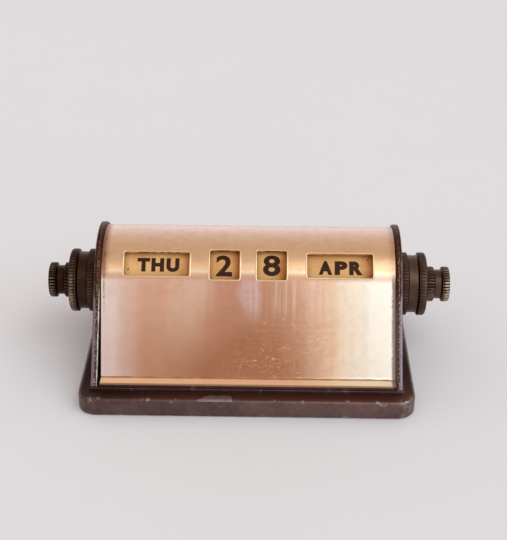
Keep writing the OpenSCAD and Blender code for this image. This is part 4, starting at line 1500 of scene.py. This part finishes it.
def knob_outline(x0, x1, radius, groove, flange_in, groove_w, slope, edge):
    """Outline (x, radius) of a knob from its inner face to the middle of its outer face."""
    nose = 0.3 * MM
    points = [(x0, 0.0), (x0, radius - 0.9 * MM), (x0, radius - nose)]
    points += corner_points((x0 + nose, radius - nose), nose, 180, 90, 3)
    ease = [0.5 - 0.5 * math.cos(math.pi * i / 6) for i in range(1, 6)]
    first = x0 + flange_in
    points += [(x0 + 0.5 * flange_in, radius), (first - 0.12 * MM, radius)]
    points += [(first + slope * i / 6, radius - (radius - groove) * e) for i, e in enumerate(ease, 1)]
    points += [(first + slope, groove), (first + slope + groove_w / 2, groove)]
    second = first + slope + groove_w
    points += [(second, groove)]
    points += [(second + slope * i / 6, groove + (radius - groove) * e) for i, e in enumerate(ease, 1)]
    third = second + slope
    points += [(third + 0.12 * MM, radius), ((third + x1 - edge) / 2, radius)]
    points += corner_points((x1 - edge, radius - edge), edge, 90, 0, 6)
    points += [(x1, (radius - edge) * 0.72), (x1 - 0.12 * MM, (radius - edge) * 0.68)]
    points += [(x1 - 0.12 * MM, (radius - edge) * 0.35), (x1 - 0.12 * MM, 0.0)]
    return points


def corner_points(centre, radius, first, last, steps):
    """Points of an arc round (x, r), by angles from the X direction."""
    angles = [math.radians(first + (last - first) * i / steps) for i in range(steps + 1)]
    return [(centre[0] + radius * math.cos(a), centre[1] + radius * math.sin(a)) for a in angles]


def knurl(obj, radius, depth, teeth):
    """Presses every fourth line of points of the knob's rims inwards, ring by ring."""
    edit(obj)
    pitch = math.tau / teeth

    def spoke(v):
        return Vector((v.co.y - AXIS.y, v.co.z - AXIS.z))

    def in_groove(v):
        angle = math.atan2(v.co.z - AXIS.z, v.co.y - AXIS.y) - math.pi / 2
        return abs((angle / pitch + 0.5) % 1.0 - 0.5) < 0.1

    bm = bmesh.from_edit_mesh(obj.data)
    rings = sorted({round(spoke(v).length, 7) for v in bm.verts if spoke(v).length > radius - depth + 1e-6})
    for ring in rings:
        if pick("verts", lambda v: abs(spoke(v).length - ring) < 2e-7 and in_groove(v)):
            factor = (radius - depth) / ring
            bpy.ops.transform.resize(value=(1, factor, factor), center_override=(0, AXIS.y, AXIS.z))
    done()
    return obj


def make_big_knobs():
    """The right large knob, and a mirrored copy that stands where the left one does."""
    s = settings().knobs
    low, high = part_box("month_knob")
    radius = reach("month_knob")
    outline = knob_outline(
        low.x, high.x, radius, s.big_groove, s.big_flange, s.big_groove_w, s.big_slope, s.big_edge
    )
    right = turn("month_knob_turned", outline, s.big_teeth * 4)
    knurl(right, radius, s.big_depth, s.big_teeth)
    left = mirrored(right, "day_knob_turned")
    left.location.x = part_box("day_knob")[0].x + high.x
    return apply_place(left), right


def make_small_knob(name, cad):
    """A small knob, turned on the right. Its inner flange takes what width the rest leaves."""
    s = settings().knobs
    low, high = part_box(cad)
    inner, outer = sorted((abs(low.x), abs(high.x)))
    flange = outer - inner - s.small_groove_w - 2 * s.small_slope - s.small_flange - s.small_edge
    radius = reach(cad)
    outline = knob_outline(
        inner, outer, radius, s.small_groove, flange, s.small_groove_w, s.small_slope, s.small_edge
    )
    obj = turn(name, outline, s.small_teeth * 4)
    knurl(obj, radius, s.depth, s.small_teeth)
    if high.x < 0:
        obj.scale.x = -1
        apply_place(obj)
        tidy_shell(obj)
    return obj


def make_knobs():
    left_big, right_big = make_big_knobs()
    left_small = make_small_knob("tens_knob_turned", "tens_knob")
    right_small = make_small_knob("units_knob_turned", "units_knob")
    for obj, body, cad, crest, haze, shift in (
        (right_big, "month_roller", "month_knob", 0.10, 0.95, 0.13),
        (right_small, "units_roller", "units_knob", 1.0, 0.85, 0.29),
        (left_big, "day_roller", "day_knob", 0.45, 0.28, 0.47),
        (left_small, "tens_roller", "tens_knob", 0.5, 0.12, 0.71),
    ):
        smooth(obj, 30)
        low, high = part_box(cad)
        outer_from = max(abs(low.x), abs(high.x)) - 1.8 * MM
        bronze = knurled_bronze(f"{cad}_bronze", reach(cad), outer_from, crest, haze, shift)
        hand_over(obj, body, "knob_bronze", bronze, cad)


# ---------------------------------------------------------------- printed drums


def make_paper(name, body, cad, shift, window_x, window_w, browning):
    """The paper strip round a drum: a thin turned band with soft edges."""
    low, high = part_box(cad)
    outer = reach(cad)
    inner = outer - 0.24 * MM
    soft = 0.05 * MM
    outline = [
        (low.x, inner), (low.x, outer - soft), (low.x + soft, outer), ((low.x + high.x) / 2, outer),
        (high.x - soft, outer), (high.x, outer - soft), (high.x, inner), (low.x, inner),
    ]
    obj = turn(name, outline, 180)
    smooth(obj, 40)
    half = window_w / 2
    material = aged_paper(f"{name}_aged", shift, window_x - half, window_x + half, browning)
    return hand_over(obj, body, "printed_strip", material, cad)


def set_type(text, width, height, weight, space):
    """One word or digit as flat letters of that height about the origin; width 0 keeps the font's own."""
    bpy.ops.object.text_add(location=(0, 0, 0))
    obj = bpy.context.object
    obj.data.body = text
    obj.data.size = 1
    obj.data.offset = weight
    obj.data.space_character = space
    obj.data.align_x = "CENTER"
    obj.data.resolution_u = 6
    bpy.ops.object.convert(target="MESH")
    obj = bpy.context.object
    xs = [v.co.x for v in obj.data.vertices]
    ys = [v.co.y for v in obj.data.vertices]
    factor = height / (max(ys) - min(ys))
    wide = width / (max(xs) - min(xs)) if width else factor
    obj.location = (-(max(xs) + min(xs)) / 2 * wide, -(max(ys) + min(ys)) / 2 * factor, 0)
    obj.scale = (wide, factor, 1)
    apply_place(obj)
    if text in LETTER_SPANS:
        space_letters(obj, LETTER_SPANS[text])
    return obj


def space_letters(obj, spans):
    """Fits each letter to its own share of the word's width, where the print differs from the font."""
    found = []
    for a, b in sorted(sorted(obj.data.vertices[i].co.x for i in e.vertices) for e in obj.data.edges):
        if found and a <= found[-1][1]:
            found[-1][1] = max(found[-1][1], b)
        else:
            found.append([a, b])
    if len(found) != len(spans):
        raise RuntimeError(f"{obj.name}: {len(found)} letters stand apart, not {len(spans)}")
    left, wide = found[0][0], found[-1][1] - found[0][0]
    edit(obj)
    for (a, b), (to_a, to_b) in zip(found, spans):
        pick("verts", lambda v: a - 1e-6 < v.co.x < b + 1e-6)
        bpy.ops.transform.resize(
            value=(wide * (to_b - to_a) / (b - a), 1, 1), center_override=((a + b) / 2, 0, 0)
        )
        bpy.ops.transform.translate(value=(left + wide * (to_a + to_b) / 2 - (a + b) / 2, 0, 0))
    done()


def press_on(obj, paper, angle):
    """Presses letters that lie over the drum's top down on the paper and turns them to their angle."""
    s = settings().letters
    use(
        obj, "SHRINKWRAP", target=paper, wrap_method="PROJECT", use_project_z=True, use_project_x=False,
        use_project_y=False, use_negative_direction=True, use_positive_direction=False, offset=s.ink,
    )
    return turned_about_axis(obj, angle)


def make_lettering(name, body, paper, texts, x, height, weight, space, widths, first_angle):
    """Prints texts evenly round a drum; the first stands first_angle degrees above the level, in front."""
    printed = []
    for i, text in enumerate(texts):
        obj = set_type(text, widths.get(text, 0) * MM, height, weight, space)
        obj.location = (x, AXIS.y, AXIS.z + reach(paper["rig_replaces"][0]) + 2 * MM)
        apply_place(obj)
        rule(obj, 1, settings().letters.row)
        turned = math.radians(90 - first_angle) - math.tau * i / len(texts)
        printed.append(press_on(obj, paper, turned))
    obj = join(name, printed)
    return hand_over(obj, body, "printed_strip", printing_ink("printing_ink"))


LETTER_SPANS = {"APR": ((0.0, 0.311), (0.364, 0.652), (0.692, 1.0))}
DAYS = ["THU", "FRI", "SAT", "SUN", "MON", "TUE", "WED"]
MONTHS = ["APR", "MAY", "JUNE", "JULY", "AUG", "SEPT", "OCT", "NOV", "DEC", "JAN", "FEB", "MAR"]
TENS = ["2", "3", "0", "1", "2", "3", "0", "1"]
UNITS = ["8", "9", "0", "1", "2", "3", "4", "5", "6", "7"]


def make_pin(name, paper, x, angle):
    """The head of the small pin that holds a strip, pressed into the paper."""
    s = settings().letters
    bpy.ops.mesh.primitive_cylinder_add(
        vertices=16, radius=s.pin, depth=0.2 * MM, location=(x, AXIS.y, AXIS.z + reach(paper))
    )
    obj = bpy.context.object
    obj.name = obj.data.name = name
    apply_place(obj)
    edit(obj)
    pick("faces", lambda f: f.normal.z > 0.9)
    bpy.ops.mesh.inset(thickness=0.4 * s.pin, depth=0.05 * MM)
    done()
    turned_about_axis(obj, math.pi / 2 - angle)
    return tidy_shell(smooth(obj, 30))


def make_drums():
    s = settings().letters
    h = settings().hood
    day = make_paper("day_paper", "day_roller", "day_strip", 0.11, -h.word_x, h.word_w, 0.0)
    tens = make_paper("tens_paper", "tens_roller", "tens_strip", 0.37, -h.digit_x, h.digit_w, 0.3)
    units = make_paper("units_paper", "units_roller", "units_strip", 0.53, h.digit_x, h.digit_w, 0.0)
    month = make_paper("month_paper", "month_roller", "month_strip", 0.79, h.word_x, h.word_w, 0.0)
    # Each call gives the text's middle along X, widths in mm that differ from the font's, and its angle
    words = (s.word_h, s.word_weight, s.word_space)
    digits = (s.digit_h, s.digit_weight, 1.0)
    make_lettering("day_letters", "day_roller", day, DAYS, -32.7 * MM, *words, {"THU": 15.3}, 48.7)
    make_lettering("tens_letters", "tens_roller", tens, TENS, -8.8 * MM, *digits, {"2": 5.9}, 48.7)
    make_lettering("units_letters", "units_roller", units, UNITS, 8.48 * MM, *digits, {"8": 6.35}, 49.6)
    make_lettering("month_letters", "month_roller", month, MONTHS, 33.47 * MM, *words, {"APR": 16.0}, 47.5)
    dark = turned_metal("pin_steel", tuple(settings().colours.pin_steel), 0.6, 2500.0)
    for name, body, paper, x, angle in (
        ("day_pin", "day_roller", "day_strip", -43.6 * MM, 43.3),
        ("month_pin", "month_roller", "month_strip", 43.3 * MM, 57.0),
    ):
        hand_over(make_pin(name, paper, x, math.radians(angle)), body, "steel", dark)


# ---------------------------------------------------------------- bearings and other carried-over nodes


def finish_node(name, material):
    """Gives a node of the CAD model its finish."""
    slots = frame["nodes"][name].data.materials
    slots.clear()
    slots.append(material)


def finish_bearings():
    c = settings().colours
    brass = turned_metal("turned_brass", tuple(c.brass), 0.6, 2500.0)
    steel = turned_metal("turned_steel", tuple(c.steel), 0.4, 3000.0)
    tin = turned_metal("drum_tin", tuple(c.tin), 0.5, 1500.0)
    for name in ("left_bush", "right_bush", "centre_bracket", "day_sleeve", "month_sleeve"):
        finish_node(name, brass)
    for name in ("left_washer", "right_washer", "tens_shaft", "units_shaft", "base_screws"):
        finish_node(name, steel)
    for name in ("day_drum", "tens_drum", "units_drum", "month_drum"):
        finish_node(name, tin)


# ---------------------------------------------------------------- stage


def direction(azimuth, elevation):
    """The way towards a place, in degrees. Azimuth runs from the front towards the right."""
    a, e = math.radians(azimuth), math.radians(elevation)
    return Vector((math.sin(a) * math.cos(e), -math.cos(a) * math.cos(e), math.sin(e)))


def softbox(name, azimuth, elevation, distance, width, height, radiance, colour):
    """A large flat lamp that faces the calendar."""
    out = direction(azimuth, elevation)
    turned = out.to_track_quat("Z", "Y").to_euler()
    bpy.ops.object.light_add(type="AREA", location=out * distance + AXIS, rotation=turned)
    lamp = bpy.context.object
    lamp.name = name
    lamp.data.shape = "RECTANGLE"
    lamp.data.size, lamp.data.size_y = width, height
    lamp.data.energy = radiance * width * height * 4
    lamp.data.color = colour
    lamp.visible_camera = False
    return lamp


# Name, azimuth, elevation, distance, width, height, radiance and colour of each large flat lamp
SOFTBOXES = (
    ("top_light", 0, 57, 2.0, 1.6, 0.34, 0.13, (1.0, 0.95, 0.86)),
    ("left_light", -35, 45, 2.0, 0.9, 1.0, 0.42, (1.0, 0.94, 0.91)),
)
KEY_COLOUR = (0.80, 0.96, 1.0)
AMBIENT_COLOUR = (1.0, 0.92, 0.895)


def make_lights():
    s = settings().stage
    out = direction(51, 46)
    bpy.ops.object.light_add(type="SUN", location=out * 2, rotation=out.to_track_quat("Z", "Y").to_euler())
    key = bpy.context.object
    key.name = "key_light"
    key.data.energy = s.key
    key.data.angle = math.radians(60)
    key.data.color = KEY_COLOUR
    for lamp in SOFTBOXES:
        softbox(*lamp)
    world = bpy.data.worlds.new("studio")
    bpy.context.scene.world = world
    world.use_nodes = True
    tree = world.node_tree
    back = next(n for n in tree.nodes if n.type == "BACKGROUND")
    back.inputs["Color"].default_value = (*AMBIENT_COLOUR, 1)
    towards = split(tree, "Generated")
    walls = times(tree, without(tree, towards["Z"]), ramp(tree, towards["Y"], -0.2, 0.4))
    tree.links.new(times_plus(tree, walls, s.walls, s.daylight), back.inputs["Strength"])


def make_camera():
    s = settings().stage
    tilt = Matrix.Rotation(math.pi / 2 - s.pitch, 4, "X")
    turned = Matrix.Rotation(s.yaw, 4, "Z") @ tilt @ Matrix.Rotation(s.roll, 4, "Z")
    bpy.ops.object.camera_add(location=s.eye, rotation=turned.to_euler())
    camera = bpy.context.object
    camera.name = "photo_camera"
    camera.data.lens = s.lens
    camera.data.sensor_width = 36
    camera.data.clip_start = 0.01
    bpy.context.scene.camera = camera


def make_floor():
    bpy.ops.mesh.primitive_plane_add(size=24, location=(0, 0, 0))
    floor = bpy.context.object
    floor.name = "table_top"
    floor.data.materials.append(pale_table("pale_table"))


# ---------------------------------------------------------------- operators and panel


class CALENDAR_OT_stage(Operator):
    """Makes the table, the lights and the camera"""

    bl_idname = "calendar.stage"
    bl_label = "Stage"
    bl_options = {"REGISTER", "UNDO"}

    def execute(self, context):
        make_floor()
        make_lights()
        make_camera()
        return {"FINISHED"}


class CALENDAR_OT_base(Operator):
    """Makes the bronze base and the felt under it"""

    bl_idname = "calendar.base"
    bl_label = "Base and Felt"
    bl_options = {"REGISTER", "UNDO"}

    def execute(self, context):
        make_base()
        make_felt()
        return {"FINISHED"}


class CALENDAR_OT_cradle(Operator):
    """Makes the floor plate and the two end plates"""

    bl_idname = "calendar.cradle"
    bl_label = "Cradle"
    bl_options = {"REGISTER", "UNDO"}

    def execute(self, context):
        make_floor_plate()
        make_end_plates()
        return {"FINISHED"}


class CALENDAR_OT_hood(Operator):
    """Makes the copper hood and the beads round its windows"""

    bl_idname = "calendar.hood"
    bl_label = "Copper Hood"
    bl_options = {"REGISTER", "UNDO"}

    def execute(self, context):
        make_hood()
        make_beads()
        return {"FINISHED"}


class CALENDAR_OT_knobs(Operator):
    """Makes the two large and the two small knurled knobs"""

    bl_idname = "calendar.knobs"
    bl_label = "Knobs"
    bl_options = {"REGISTER", "UNDO"}

    def execute(self, context):
        make_knobs()
        return {"FINISHED"}


class CALENDAR_OT_drums(Operator):
    """Makes the paper strips and prints the days, months and digits on them"""

    bl_idname = "calendar.drums"
    bl_label = "Printed Drums"
    bl_options = {"REGISTER", "UNDO"}

    def execute(self, context):
        make_drums()
        return {"FINISHED"}


class CALENDAR_OT_bearings(Operator):
    """Gives the bushes, washers, shafts, sleeves, drums and screws their metals"""

    bl_idname = "calendar.bearings"
    bl_label = "Bearings"
    bl_options = {"REGISTER", "UNDO"}

    def execute(self, context):
        finish_bearings()
        return {"FINISHED"}


OPERATORS = (
    CALENDAR_OT_stage, CALENDAR_OT_base, CALENDAR_OT_cradle, CALENDAR_OT_hood, CALENDAR_OT_knobs,
    CALENDAR_OT_drums, CALENDAR_OT_bearings,
)


class VIEW3D_PT_desk_calendar(Panel):
    """Lists the calendar's pieces and their settings"""

    bl_label = "Desk Calendar"
    bl_space_type = "VIEW_3D"
    bl_region_type = "UI"
    bl_category = "Calendar"

    def draw(self, context):
        column = self.layout.column(align=True)
        for operator in OPERATORS:
            column.operator(operator.bl_idname)
        for name in CalendarSettings.__annotations__:
            group = getattr(context.scene.desk_calendar, name)
            box = self.layout.box()
            box.label(text=name.title())
            for item in type(group).__annotations__:
                box.prop(group, item)


CLASSES = (
    CalendarBaseSettings, CalendarCradleSettings, CalendarHoodSettings, CalendarKnobSettings,
    CalendarLetterSettings, CalendarColours, CalendarHoodColours, CalendarStageSettings, CalendarSettings,
    *OPERATORS, VIEW3D_PT_desk_calendar,
)


def register():
    for cls in CLASSES:
        bpy.utils.register_class(cls)
    bpy.types.Scene.desk_calendar = PointerProperty(type=CalendarSettings)


def unregister():
    del bpy.types.Scene.desk_calendar
    for cls in reversed(CLASSES):
        bpy.utils.unregister_class(cls)


def main():
    register()
    bpy.context.scene.view_settings.view_transform = "Standard"
    for obj in list(bpy.context.scene.objects):
        if obj.type in ("LIGHT", "CAMERA") or obj.name == "Cube":
            bpy.data.objects.remove(obj)
    bpy.ops.calendar.stage()
    bpy.ops.calendar.base()
    bpy.ops.calendar.cradle()
    bpy.ops.calendar.hood()
    bpy.ops.calendar.knobs()
    bpy.ops.calendar.drums()
    bpy.ops.calendar.bearings()


if __name__ == "__main__":
    main()
